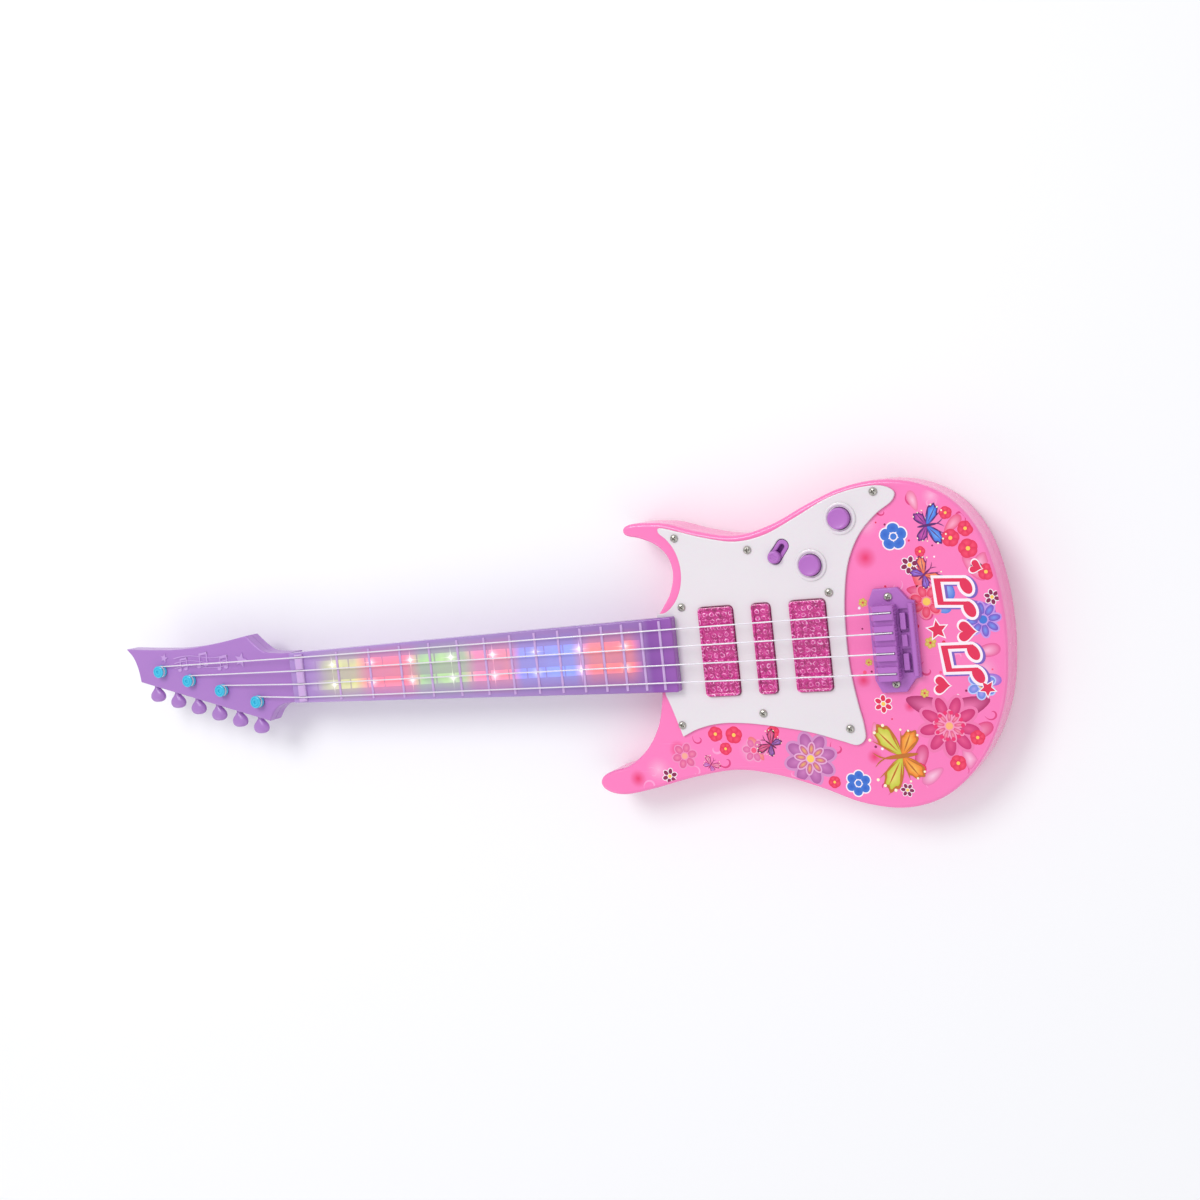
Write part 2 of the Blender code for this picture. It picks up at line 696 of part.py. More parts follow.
combine(
    bridge, "DIFFERENCE", "bridge_screw_holes",
    holes(BRIDGE_SCREWS, SCREW_HOLE_RADIUS, BODY_TOP - 0.001, bridge_plate_top + 0.001),
)
for i, (x, y) in enumerate(BRIDGE_SCREWS, 1):
    screw(f"bridge_screw_{i}", x, y, bridge_plate_top + 0.0002, 0.0085)


# ---------------------------------------------------------------- neck back with headstock tray
def neck_half(x):
    """Half the neck's width, which grows evenly from the nut to the body."""
    share = (x - NUT_RIGHT) / (FRETBOARD_RIGHT - NUT_RIGHT)
    return NECK_HALF_AT_NUT + share * (NECK_HALF_AT_END - NECK_HALF_AT_NUT)


def channel_ring(x, wall, steps=8):
    """A U-shaped section: a half ellipse outside, and the same a wall's thickness further in."""
    half = neck_half(x)
    outside = [
        (
            half * math.cos(math.pi * k / steps),
            NECK_BACK_TOP - NECK_DEPTH * math.sin(math.pi * k / steps),
        )
        for k in range(steps + 1)
    ]
    inside = [
        (
            (half - wall) * math.cos(math.pi * k / steps),
            NECK_BACK_TOP - (NECK_DEPTH - wall) * math.sin(math.pi * k / steps),
        )
        for k in range(steps, -1, -1)
    ]
    return [Vector((x, y, z)) for y, z in outside + inside]


def solid_section(x, half, top, depth, steps=8):
    return [
        Vector(
            (x, half * math.cos(math.pi * k / steps), top - depth * math.sin(math.pi * k / steps))
        )
        for k in range(steps + 1)
    ]


head_line = smooth_outline(HEAD_OUTLINE, 2)
neck_back = loft(
    "neck_back", [tray(head_line, HEAD_SPLIT - GAP / 2, HEAD_BACK, 0.0022, 0.0020, 0.0012, 1)],
    LILAC,
)
combine(
    neck_back, "UNION", "neck_channel",
    [[channel_ring(FRETBOARD_LEFT, 0.0022), channel_ring(NECK_END, 0.0022)]],
)
combine(
    neck_back, "UNION", "heel_wall",
    [
        [
            solid_section(x, neck_half(x) - 0.0010, NECK_BACK_TOP - 0.0004, NECK_DEPTH - 0.0014, 7)
            for x in (NECK_END - 0.004, NECK_END - 0.0005)
        ]
    ],
)
combine(
    neck_back, "UNION", "heel_tenon",
    [box((NECK_END - 0.003, -0.0140, 0.0175), (0.130, 0.0140, 0.0268))],
)
combine(
    neck_back, "UNION", "volute",
    [
        [
            solid_section(-0.176, 0.0150, HEAD_SPLIT - 0.0006, 0.0071, 7),
            solid_section(
                FRETBOARD_LEFT + 0.004, neck_half(FRETBOARD_LEFT) - 0.0010, NECK_BACK_TOP - 0.0004,
                NECK_DEPTH - 0.0014, 7,
            ),
        ]
    ],
)

headstock_cover = loft(
    "headstock_cover", [tray(head_line, HEAD_SPLIT + GAP / 2, HEAD_TOP, 0.0022, 0.0020, 0.0010, 1)],
    LILAC,
)
# The cover ends at the fretboard, clear of the raised front of the neck back.
volute_clearance = [[
    solid_section(-0.1775, 0.0155, HEAD_SPLIT + 0.0003, 0.004), solid_section(
        -0.160, 0.0172, NECK_BACK_TOP + 0.0004, 0.009
    )
]]
combine(headstock_cover, "DIFFERENCE", "volute_clearance", volute_clearance)

# ---------------------------------------------------------------- tuning keys
key_holes = []
key_places = []
for i in range(KEY_COUNT):
    x = KEY_FIRST_X + i * KEY_PITCH
    edge_start, edge_end = HEAD_OUTLINE[3], HEAD_OUTLINE[4]
    edge_y = edge_start[1] + (x - edge_start[0]) * (edge_end[1] - edge_start[1]) / (
        edge_end[0] - edge_start[0]
    )
    key_places.append((x, edge_y))
    key_holes.append(
        [
            [Vector((x + p.x, y, HEAD_SPLIT + p.y)) for p in circle(0, 0, 0.0022, 12)]
            for y in (edge_y - 0.005, edge_y + 0.0045)
        ]
    )
combine(neck_back, "DIFFERENCE", "key_holes_back", key_holes)
combine(headstock_cover, "DIFFERENCE", "key_holes_front", key_holes)
# (distance from the headstock's edge, half width, half thickness)
KEY_SECTIONS = [
    (
        -0.0085, 0.0018, 0.0018
    ), (-0.0072, 0.0030, 0.0030), (-0.0058, 0.0030, 0.0030), (-0.0058, 0.0018, 0.0018),
    (
        0.0020, 0.0018, 0.0018
    ), (0.0042, 0.0036, 0.0026), (0.0068, 0.0059, 0.0031), (0.0092, 0.0063, 0.0032),
    (0.0113, 0.0052, 0.0027), (0.0124, 0.0028, 0.0016),
]
for i, (x, edge_y) in enumerate(key_places, 1):
    sections = [
        [
            Vector((x + 2 * p.x * wide, edge_y - out, HEAD_SPLIT + 2 * p.y * thick))
            for p in circle(0, 0, 0.5, 10)
        ]
        for out, wide, thick in KEY_SECTIONS
    ]
    loft(f"tuning_key_{i}", [sections], LILAC, (x, edge_y, HEAD_SPLIT))

# ---------------------------------------------------------------- string posts
combine(headstock_cover, "DIFFERENCE", "post_holes", holes(POSTS, 0.0022, 0.030, HEAD_TOP + 0.001))
for i, (x, y) in enumerate(POSTS, 1):
    loft(
        f"string_post_{i}",
        [
            turned(
                x, y,
                [
                    (0.0020, 0.0310), (0.0020, HEAD_TOP + GAP), (0.0042, HEAD_TOP + GAP),
                    (0.0042, 0.0358), (0.0031, 0.0364), (0.0031, 0.0378), (0.0042, 0.0384),
                    (0.0042, 0.0392), (0.0036, 0.0397), (0.0013, 0.0397), (0.0008, 0.0388),
                ],
                12,
            )
        ],
        CYAN,
    )

# ---------------------------------------------------------------- fretboard, frets and nut
fretboard_line = [
    Vector((FRETBOARD_LEFT, -neck_half(FRETBOARD_LEFT))), Vector(
        (FRETBOARD_RIGHT, -neck_half(FRETBOARD_RIGHT))
    ),
    Vector((FRETBOARD_RIGHT, neck_half(FRETBOARD_RIGHT))), Vector(
        (FRETBOARD_LEFT, neck_half(FRETBOARD_LEFT))
    ),
]
fretboard_cover = loft(
    "fretboard_cover", [
        tray(fretboard_line, FRETBOARD_BOTTOM, FRETBOARD_TOP, 0.0018, 0.0016, 0.0010, 1)
    ], FRETBOARD
)
frets = []
fret_x, fret_gap = NUT_RIGHT, FIRST_FRET_GAP
for _ in range(FRET_COUNT):
    fret_x += fret_gap
    fret_gap *= FRET_RATIO
    reach = neck_half(fret_x) - 0.0018
    frets.append(
        box(
            (fret_x - 0.0008, -reach, FRETBOARD_TOP - 0.0005),
            (fret_x + 0.0008, reach, FRETBOARD_TOP + 0.0007),
        )
    )
nut_reach = neck_half(NUT_LEFT) - 0.0012
nut = box(
    (NUT_LEFT, -nut_reach, FRETBOARD_TOP - 0.0005), (NUT_RIGHT, nut_reach, STRING_Z_NUT + 0.0001)
)
combine(fretboard_cover, "UNION", "frets_and_nut", frets + [nut])
combine(
    fretboard_cover, "DIFFERENCE", "nut_notches",
    [
        box(
            (NUT_LEFT - 0.001, y - 0.0008, STRING_Z_NUT - 0.0008),
            (NUT_RIGHT + 0.001, y + 0.0008, STRING_Z_NUT + 0.001),
        )
        for y in STRINGS_AT_NUT
    ],
)

# ---------------------------------------------------------------- lights inside the neck
led_board = loft("neck_led_board", [box((-0.140, -0.0105, 0.0290), (0.088, 0.0105, 0.0302))], BOARD)
led_count = 8
led_blocks = []
for i in range(led_count):
    x = -0.130 + i * 0.210 / (led_count - 1)
    led_blocks.append(box((x - 0.002, -0.0015, 0.0297), (x + 0.002, 0.0015, 0.0318)))
combine(led_board, "UNION", "leds", led_blocks)
guide_y, guide_half = 0.0065, 0.0026
for name, side in (("light_guide_upper", 1), ("light_guide_lower", -1)):
    loft(
        name,
        [
            box(
                (-0.138, side * guide_y - guide_half, 0.0325),
                (0.084, side * guide_y + guide_half, 0.0358),
            )
        ],
        CLEAR,
    )

# ---------------------------------------------------------------- strings
for i, (post, y_nut, y_bridge) in enumerate(zip(POSTS, STRINGS_AT_NUT, STRINGS_AT_BRIDGE), 1):
    start = Vector((post[0] + 0.0012, post[1] + 0.0031 + STRING_RADIUS + GAP, STRING_Z_POST))
    route = [
        start, Vector(((NUT_LEFT + NUT_RIGHT) / 2, y_nut, STRING_Z_NUT)),
        Vector((BRIDGE_STRING_END, y_bridge, STRING_Z_BRIDGE)),
    ]
    curve = bpy.data.curves.new(f"string_{i}", "CURVE")
    curve.dimensions = "3D"
    curve.bevel_depth = STRING_RADIUS
    curve.bevel_resolution = 1
    curve.use_fill_caps = True
    spline = curve.splines.new("POLY")
    spline.points.add(len(route) - 1)
    for point, place in zip(spline.points, route):
        point.co = (*place, 1.0)
    curve.materials.append(NYLON)
    string = bpy.data.objects.new(f"string_{i}", curve)
    bpy.context.scene.collection.objects.link(string)
    string.parent = guitar_origin

# ---------------------------------------------------------------- origin of the assembly
low_x, high_x = min(p.x for p in head_line), max(p.x for p in body_line)
low_y, high_y = min(p.y for p in body_line), max(p.y for p in body_line)
guitar_origin.location = (-(low_x + high_x) / 2, -(low_y + high_y) / 2, 0.0)
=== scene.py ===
"""Toy electric guitar: the looks of every piece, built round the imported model."""

import math
import random

import bmesh
import bpy
from mathutils import Matrix, Vector


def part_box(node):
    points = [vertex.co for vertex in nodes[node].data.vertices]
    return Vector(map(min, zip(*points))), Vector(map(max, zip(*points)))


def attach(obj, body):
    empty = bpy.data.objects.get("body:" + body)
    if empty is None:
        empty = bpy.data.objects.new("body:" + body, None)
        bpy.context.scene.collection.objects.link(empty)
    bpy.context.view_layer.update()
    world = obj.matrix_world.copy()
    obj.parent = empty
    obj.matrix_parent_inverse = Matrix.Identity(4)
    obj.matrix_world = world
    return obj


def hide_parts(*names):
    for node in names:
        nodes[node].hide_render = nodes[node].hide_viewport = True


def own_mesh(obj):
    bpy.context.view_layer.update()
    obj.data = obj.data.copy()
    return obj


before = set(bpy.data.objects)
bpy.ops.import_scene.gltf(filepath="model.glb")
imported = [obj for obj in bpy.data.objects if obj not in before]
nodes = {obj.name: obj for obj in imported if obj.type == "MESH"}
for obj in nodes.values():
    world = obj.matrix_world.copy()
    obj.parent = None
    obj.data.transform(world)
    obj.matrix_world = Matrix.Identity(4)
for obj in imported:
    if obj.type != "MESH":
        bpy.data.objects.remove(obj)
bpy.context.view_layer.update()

# ------------------------------------------------------------------ camera, light and floor
# The guitar lies on its back on a pale table and is seen from above its strap end.
def new_object(name, data):
    """An object in the scene that holds this mesh, curve, light or camera."""
    made = bpy.data.objects.new(name, data)
    bpy.context.scene.collection.objects.link(made)
    return made


camera_data = bpy.data.cameras.new("camera")
camera_data.lens = 48
camera_data.sensor_width = 36
camera = new_object("camera", camera_data)
camera.location = (0.4743, 0.1040, 0.9038)
camera.rotation_euler = (math.radians(-6.83), math.radians(24.60), math.radians(-6.96))
bpy.context.scene.camera = camera
bpy.context.scene.view_settings.view_transform = "Standard"


def colour(red, green, blue):
    """A colour given as 0 to 255 values, as the linear colour that shaders take."""
    return (
        *[(c / 255 / 12.92) if c < 10 else ((c / 255 + 0.055) / 1.055) ** 2.4 for c in (red, green, blue)],
        1.0,
    )


def area_light(name, place, aim, size, power):
    light = bpy.data.lights.new(name, "AREA")
    light.shape = "DISK"
    light.size = size
    light.energy = power
    lamp = new_object(name, light)
    lamp.location = place
    lamp.rotation_euler = (Vector(aim) - Vector(place)).to_track_quat("-Z", "Y").to_euler()


area_light("key_light", (-0.35, 0.75, 1.25), (0.0, 0.0, 0.0), 0.75, 8.5)
area_light("fill_light", (1.0, -0.7, 1.1), (0.1, 0.0, 0.0), 1.2, 2.6)
area_light("rim_light", (-0.9, -0.8, 0.7), (0.0, 0.0, 0.0), 0.9, 1.8)

world = bpy.data.worlds.new("soft_room")
world.use_nodes = True
sky = world.node_tree.nodes["Background"]
sky.inputs["Color"].default_value = colour(236, 238, 242)
sky.inputs["Strength"].default_value = 0.8
bpy.context.scene.world = world

floor_mesh = bpy.data.meshes.new("floor")
floor_mesh.from_pydata([(-12, -12, 0), (12, -12, 0), (12, 12, 0), (-12, 12, 0)], [], [(0, 1, 2, 3)])
floor = new_object("floor", floor_mesh)
floor_paint = bpy.data.materials.new("pale_floor")
floor_paint.use_nodes = True
floor_shader = floor_paint.node_tree.nodes["Principled BSDF"]
floor_shader.inputs["Base Color"].default_value = colour(250, 249, 250)
floor_shader.inputs["Roughness"].default_value = 0.75
floor_mesh.materials.append(floor_paint)
floor.location.z = -0.0002

# ------------------------------------------------------------------ body: two moulded shells
# Two glossy pink polystyrene shells, screwed together from the back along a seam at half depth.
# Every place below is in millimetres, with y measured from the neck's centre line, and settle() brings
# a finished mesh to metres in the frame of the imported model.
WALL = 2.2
BODY_TOP, BODY_SEAM = 30.0, 15.0
BODY_EDGE = 2.3                 # radius of the rounded edge
HAIR = 0.2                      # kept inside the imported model's own faces

FIRST_POST = Vector((-273, 10))
post_low, post_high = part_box("string_post_1")
TO_FRAME = (
    Matrix.Translation(((post_low + post_high) / 2).xy.to_3d() - 0.001 * FIRST_POST.to_3d())
    @ Matrix.Diagonal((0.001, 0.001, 0.001, 1.0))
)

BODY_OUTLINE = [
    (97.5, 16), (98.5, 21), (103, 27), (109, 36), (112, 47), (110, 57), (103.5, 64.5),
    (95, 68.9), (90.5, 70.4), (86.7, 71.3), (83.9, 72.7), (82.9, 75), (83.8, 77.3), (86.6, 78.6),
    (90.5, 79.1), (96, 79), (110, 77.5), (130, 71), (154, 66.4), (176, 70.8), (198, 80.2),
    (218, 87.3), (240, 90), (262, 86.3), (280.5, 75.5), (294.5, 56), (302.5, 26), (304, -8),
    (298.5, -42), (283.8, -70.7), (263, -89.5), (240, -96.2), (215, -93.2), (190, -83.5), (165, -75.7),
    (140, -72), (113, -75.5), (85, -82), (68, -85), (60.5, -84.7), (55.2, -83.1), (51.6, -80.6),
    (50.2, -77.3), (51.4, -74), (55, -71.4), (61, -69.4), (70, -67.2), (83, -57.7), (92, -44),
    (96, -30), (97.5, -18),
]
PICKUPS = {"neck": (138, 21), "middle": (166, 11), "bridge": (194, 21)}     # x and width
PICKUP_Y, PICKUP_LENGTH = -0.3, 52.5
BUTTONS = {"demo_button": (218, 70.5), "rhythm_button": (198.5, 45.7)}
SWITCH_PLACE, SWITCH_TURN = (180, 54.8), math.radians(52)
BODY_SCREWS = [(70, -76), (100, 73.2), (150, -61), (140, 56), (268, 67), (262, -70)]
BATTERY_X = 165
SPEAKER_PLACE = (255, 0)
DOOR = (131, 206, 26)           # low x, high x and half width
DOOR_SCREW = (200.5, 0)
SCREW_HOLE = 1.5                # radius


def smooth_outline(anchors, steps):
    """A closed line through the anchors: a centripetal Catmull-Rom curve that stops at sharp corners."""
    places = [Vector(a[:2]) for a in anchors]
    sharp = [len(a) > 2 for a in anchors]
    count = len(places)
    line = []
    for i in range(count):
        j = (i + 1) % count
        before, start, end, after = places[i - 1], places[i], places[j], places[(i + 2) % count]
        chord = end - start
        step, step_before, step_after = (
            math.sqrt(v.length) for v in (chord, start - before, after - end)
        )
        leave, arrive = chord, chord
        if not sharp[i]:
            turn = (start - before) / step_before - (end - before) / (step_before + step)
            leave = step * (turn + chord / step)
        if not sharp[j]:
            turn = (after - end) / step_after - (after - start) / (step + step_after)
            arrive = step * (turn + chord / step)
        for k in range(steps):
            t = k / steps
            line.append(
                (2 * t**3 - 3 * t**2 + 1) * start + (t**3 - 2 * t**2 + t) * leave
                + (3 * t**2 - 2 * t**3) * end + (t**3 - t**2) * arrive
            )
    return line


def inset(line, distance):
    """The closed line moved sideways, to its inner side."""
    count = len(line)
    area = sum(line[i - 1].cross(line[i]) for i in range(count))
    side = 1 if area > 0 else -1
    moved = []
    for i in range(count):
        a = (line[i] - line[i - 1]).normalized()
        b = (line[(i + 1) % count] - line[i]).normalized()
        normal = Vector((-a.y - b.y, a.x + b.x)).normalized() * side
        lengthen = 1 / max(0.45, math.sqrt(max(0.0, (1 + a.dot(b)) / 2)))
        moved.append(line[i] + normal * distance * lengthen)
    return moved


def rounded_rectangle(x, y, width, height, radius, steps=6, turn=0.0):
    """Corner arcs joined by straight sides; with radius half the width it is a slot."""
    line = []
    for quarter, (sx, sy) in enumerate([(1, 1), (-1, 1), (-1, -1), (1, -1)]):
        centre = Vector((sx * (width / 2 - radius), sy * (height / 2 - radius)))
        for k in range(steps + 1):
            angle = (quarter + k / steps) * math.pi / 2
            line.append(centre + radius * Vector((math.cos(angle), math.sin(angle))))
    return [Vector((x, y)) + Matrix.Rotation(turn, 2) @ p for p in line]


def circle(x, y, radius, sides=32):
    turns = [2 * math.pi * k / sides for k in range(sides)]
    return [Vector((x + radius * math.cos(t), y + radius * math.sin(t))) for t in turns]


def at_height(line, z):
    return [Vector((p.x, p.y, z)) for p in line]


def turned(x, y, profile, sides=32):
    """Rings of a shape turned about an upright axis; the profile is a list of (radius, z)."""
    return [at_height(circle(x, y, radius, sides), z) for radius, z in profile]


def block(line, low, high, edge=0.0, steps=3):
    """Rings of an upright block on this outline, with a rounded edge round its top."""
    rings = [at_height(line, low), at_height(line, high - edge)]
    for k in range(1, steps + 1 if edge else 0):
        angle = k / steps * math.pi / 2
        rings.append(
            at_height(inset(line, edge * (1 - math.cos(angle))), high - edge * (1 - math.sin(angle)))
        )
    return rings


def tray(line, open_z, closed_z, wall, floor, edge, steps=8):
    """Rings of a hollow shell: inner face, inner wall, rim, outer wall, rounded edge and outer face."""
    up = 1 if closed_z > open_z else -1
    inner = inset(line, wall)
    rings = [at_height(inner, closed_z - up * floor), at_height(inner, open_z), at_height(line, open_z)]
    for k in range(steps + 1):
        angle = k / steps * math.pi / 2
        height = closed_z - up * edge * (1 - math.sin(angle))
        rings.append(at_height(inset(line, edge * (1 - math.cos(angle))), height))
    return rings


def loft(name, ring_sets):
    """A closed mesh whose surface runs through each list of rings."""
    points, faces = [], []
    for rings in ring_sets:
        count, base = len(rings[0]), len(points)
        points += [p for ring in rings for p in ring]
        for r in range(len(rings) - 1):
            for k in range(count):
                low, high, n = base + r * count, base + (r + 1) * count, (k + 1) % count
                faces.append((low + k, low + n, high + n, high + k))
        last = base + (len(rings) - 1) * count
        faces.append(tuple(range(base + count - 1, base - 1, -1)))
        faces.append(tuple(range(last, last + count)))
    mesh = bpy.data.meshes.new(name)
    mesh.from_pydata(points, [], faces)
    made = new_object(name, mesh)
    tidy_faces(made)
    return made


def tidy_faces(made, merge=0.002):
    """Joins doubled points, turns all faces outwards, and rounds the shading up to 35 degree edges."""
    bm = bmesh.new()
    bm.from_mesh(made.data)
    bmesh.ops.remove_doubles(bm, verts=bm.verts, dist=merge)
    bmesh.ops.recalc_face_normals(bm, faces=bm.faces)
    bm.to_mesh(made.data)
    bm.free()
    made.data.shade_smooth()
    made.data.set_sharp_from_angle(angle=math.radians(35))


def freeze(made):
    """The object with its modifiers applied."""
    bpy.context.view_layer.update()
    solid = bpy.data.meshes.new_from_object(made.evaluated_get(bpy.context.evaluated_depsgraph_get()))
    made.modifiers.clear()
    made.data = solid
    return made


def combine(target, operation, ring_sets):
    """Cuts these shapes from the target, or joins them to it."""
    tool = loft("tool", ring_sets)
    modifier = target.modifiers.new(operation.lower(), "BOOLEAN")
    modifier.operation = operation
    modifier.object = tool
    freeze(target)
    bpy.data.objects.remove(tool)
    return target


def holes(places, radius, low, high, sides=24):
    return [turned(x, y, [(radius, low), (radius, high)], sides) for x, y in places]


def settle(made, body, slot, material, *replaced):
    """Brings a piece into the frame, gives it its material, fixes it to its body and hides the model parts
    that it stands for.
    """
    made.data.transform(TO_FRAME)
    made.data.shade_smooth()
    made.data.set_sharp_from_angle(angle=math.radians(35))
    even = made.modifiers.new("even_shading", "WEIGHTED_NORMAL")
    even.keep_sharp = True
    freeze(made)
    made.data.materials.clear()
    made.data.materials.append(material)
    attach(made, body)
    if replaced:
        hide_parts(*replaced)
    return made


def group_node(tree, group, **values):
    node = tree.nodes.new("ShaderNodeGroup")
    node.node_tree = group
    for name, value in values.items():
        node.inputs[name.replace("_", " ")].default_value = value
    return node


def moulded_skin_group():
    """The skin of injection moulded plastic: faint flow marks in the colour, finger smudges in the gloss,
    hairline scratches, and a very fine ripple. It reads Object coordinates in metres."""
    group = bpy.data.node_groups.new("moulded_skin", "ShaderNodeTree")
    add = group.interface.new_socket
    add("Tone", in_out="INPUT", socket_type="NodeSocketColor")
    for name, value in (
        ("Variation", 0.05), ("Gloss", 0.25), ("Smudge", 0.12), ("Scratches", 0.3), ("Ripple", 0.02)
    ):
        add(name, in_out="INPUT", socket_type="NodeSocketFloat").default_value = value
    add("Colour", in_out="OUTPUT", socket_type="NodeSocketColor")
    add("Roughness", in_out="OUTPUT", socket_type="NodeSocketFloat")
    add("Normal", in_out="OUTPUT", socket_type="NodeSocketVector")
    new, link = group.nodes.new, group.links.new
    given, result = new("NodeGroupInput"), new("NodeGroupOutput")
    place = new("ShaderNodeTexCoord")

    def noise(scale, detail, stretch=None):
        node = new("ShaderNodeTexNoise")
        node.inputs["Scale"].default_value = scale
        node.inputs["Detail"].default_value = detail
        source = place.outputs["Object"]
        if stretch:
            mapping = new("ShaderNodeMapping")
            mapping.inputs["Scale"].default_value = stretch
            mapping.inputs["Rotation"].default_value = (0.0, 0.0, 0.5)
            link(source, mapping.inputs["Vector"])
            source = mapping.outputs["Vector"]
        link(source, node.inputs["Vector"])
        return node.outputs["Fac"]

    def maths(operation, a, b, c=None):
        node = new("ShaderNodeMath")
        node.operation = operation
        for socket, value in zip(node.inputs, (a, b, c)):
            if value is None:
                continue
            if isinstance(value, (int, float)):
                socket.default_value = value
            else:
                link(value, socket)
        return node.outputs[0]

    flow = maths("SUBTRACT", noise(18, 2, (1.0, 2.5, 1.0)), 0.5)
    lighter = maths("MULTIPLY_ADD", maths("MULTIPLY", flow, given.outputs["Variation"]), 2.0, 1.0)
    tint = new("ShaderNodeVectorMath")
    tint.operation = "SCALE"
    link(given.outputs["Tone"], tint.inputs[0])
    link(lighter, tint.inputs["Scale"])
    link(tint.outputs[0], result.inputs["Colour"])

    scratch = new("ShaderNodeMapRange")
    link(noise(260, 3, (0.06, 3.0, 1.0)), scratch.inputs["Value"])
    scratch.inputs["From Min"].default_value = 0.66
    scratch.inputs["From Max"].default_value = 0.74
    marks = maths("MULTIPLY", scratch.outputs["Result"], maths("MULTIPLY", given.outputs["Scratches"], 0.25))
    smear = maths("MULTIPLY", maths("SUBTRACT", noise(42, 4), 0.45), given.outputs["Smudge"])
    rough = maths("ADD", maths("ADD", given.outputs["Gloss"], smear), marks)
    link(maths("MAXIMUM", rough, 0.03), result.inputs["Roughness"])

    bump = new("ShaderNodeBump")
    bump.inputs["Strength"].default_value = 0.6
    bump.inputs["Distance"].default_value = 0.0004
    height = maths("MULTIPLY", noise(330, 3), given.outputs["Ripple"])
    link(maths("SUBTRACT", height, maths("MULTIPLY", marks, 0.1)), bump.inputs["Height"])
    link(bump.outputs["Normal"], result.inputs["Normal"])
    return group


MOULDED_SKIN = moulded_skin_group()


def skin_of(material):
    """The moulded skin's node in this material."""
    return next(node for node in material.node_tree.nodes if node.type == "GROUP")


def plastic(name, tone, gloss=0.25, coat=0.0, subsurface=0.0, metallic=0.0, **skin):
    """A moulded plastic of this tone, with the moulded skin's values."""
    made = bpy.data.materials.new(name)
    made.use_nodes = True
    tree = made.node_tree
    shader = tree.nodes["Principled BSDF"]
    shader.inputs["Coat Weight"].default_value = coat
    shader.inputs["Coat Roughness"].default_value = 0.08
    shader.inputs["Subsurface Weight"].default_value = subsurface
    shader.inputs["Subsurface Radius"].default_value = (0.004, 0.002, 0.003)
    shader.inputs["Metallic"].default_value = metallic
    skin_node = group_node(tree, MOULDED_SKIN, Tone=tone, Gloss=gloss, **skin)
    tree.links.new(skin_node.outputs["Colour"], shader.inputs["Base Color"])
    tree.links.new(skin_node.outputs["Roughness"], shader.inputs["Roughness"])
    tree.links.new(skin_node.outputs["Normal"], shader.inputs["Normal"])
    return made


PINK = plastic("pink_polystyrene", colour(253, 124, 188), 0.22, coat=0.35, subsurface=0.05, Variation=0.04)

body_line = inset(smooth_outline(BODY_OUTLINE, 8), HAIR)
body_front = loft(
    "front_shell", [tray(body_line, BODY_SEAM + 0.15, BODY_TOP - HAIR / 2, WALL, WALL, BODY_EDGE)]
)
openings = [
    block(rounded_rectangle(x, PICKUP_Y, width + 4.2, PICKUP_LENGTH + 4.2, 3), 26, 31)
    for x, width in PICKUPS.values()
]
openings += [turned(x, y, [(8.3, 26), (8.3, 31)]) for x, y in BUTTONS.values()]
openings.append(block(rounded_rectangle(*SWITCH_PLACE, 17.6, 9.6, 4.4, 6, SWITCH_TURN), 26, 31))
openings.append(block(rounded_rectangle(95.5, 0, 21, 29, 1), 17, 27.3))
combine(body_front, "DIFFERENCE", openings)
settle(body_front, "guitar", "pink_plastic", PINK, "body_front_shell")

# The back shell has a shallow seam groove, screw wells, a battery bay and a slotted speaker grille.
body_back = loft("back_shell", [tray(body_line, BODY_SEAM - 0.15, 0.0, WALL, WALL, BODY_EDGE)])
door_low, door_high, door_half = DOOR
door_middle, door_length = (door_low + door_high) / 2, door_high - door_low
combine(
    body_back, "UNION",
    [block(rounded_rectangle(door_middle, 0, door_length + 4, 2 * door_half + 5, 1.5), 1, 18.8)],
)
combine(body_back, "UNION", holes(BODY_SCREWS, 4.2, 1, 14.6))
combine(body_back, "DIFFERENCE", [block(rounded_rectangle(BATTERY_X, 0, 58, 46, 1.5), -1, 17.3)])
combine(
    body_back, "DIFFERENCE",
    [block(rounded_rectangle(door_middle, 0, door_length + 0.5, 2 * door_half + 0.5, 1.2), -1, 2.6)],
)
screw_wells = [turned(*DOOR_SCREW, [(4.4, 1), (4.4, 5.3)])] + holes(BODY_SCREWS, 2.9, -2, 9)
combine(body_back, "DIFFERENCE", screw_wells)
screw_bores = holes([DOOR_SCREW], SCREW_HOLE, 4, 12) + holes(BODY_SCREWS, SCREW_HOLE, 8, 16)
combine(body_back, "DIFFERENCE", screw_bores)
grille = []
for row in range(-3, 4):
    reach = math.sqrt(16.5**2 - (row * 4.5) ** 2)
    grille.append(block(rounded_rectangle(SPEAKER_PLACE[0], row * 4.5, 2 * reach, 2.2, 1.09), -1, 3.5))
combine(body_back, "DIFFERENCE", grille)
settle(body_back, "guitar", "pink_plastic", PINK, "body_back_shell")

# ------------------------------------------------------------------ printed film on the front
# A glossy printed film is fused to the front shell in the mould: flowers, butterflies, curls, hearts and
# notes in layers of ink. Each patch of ink is a hair's thickness prouder than the one below it.
INK_STEP = 0.012
BODY_INK = (253, 124, 188)
film_line = inset(body_line, BODY_EDGE * 0.75)
film_mesh = bmesh.new()
film_ink = film_mesh.loops.layers.float_color.new("ink")


def object_from(name, drawn):
    """An object of this drawn mesh, with its faces turned outwards."""
    bmesh.ops.recalc_face_normals(drawn, faces=drawn.faces)
    data = bpy.data.meshes.new(name)
    drawn.to_mesh(data)
    drawn.free()
    return new_object(name, data)


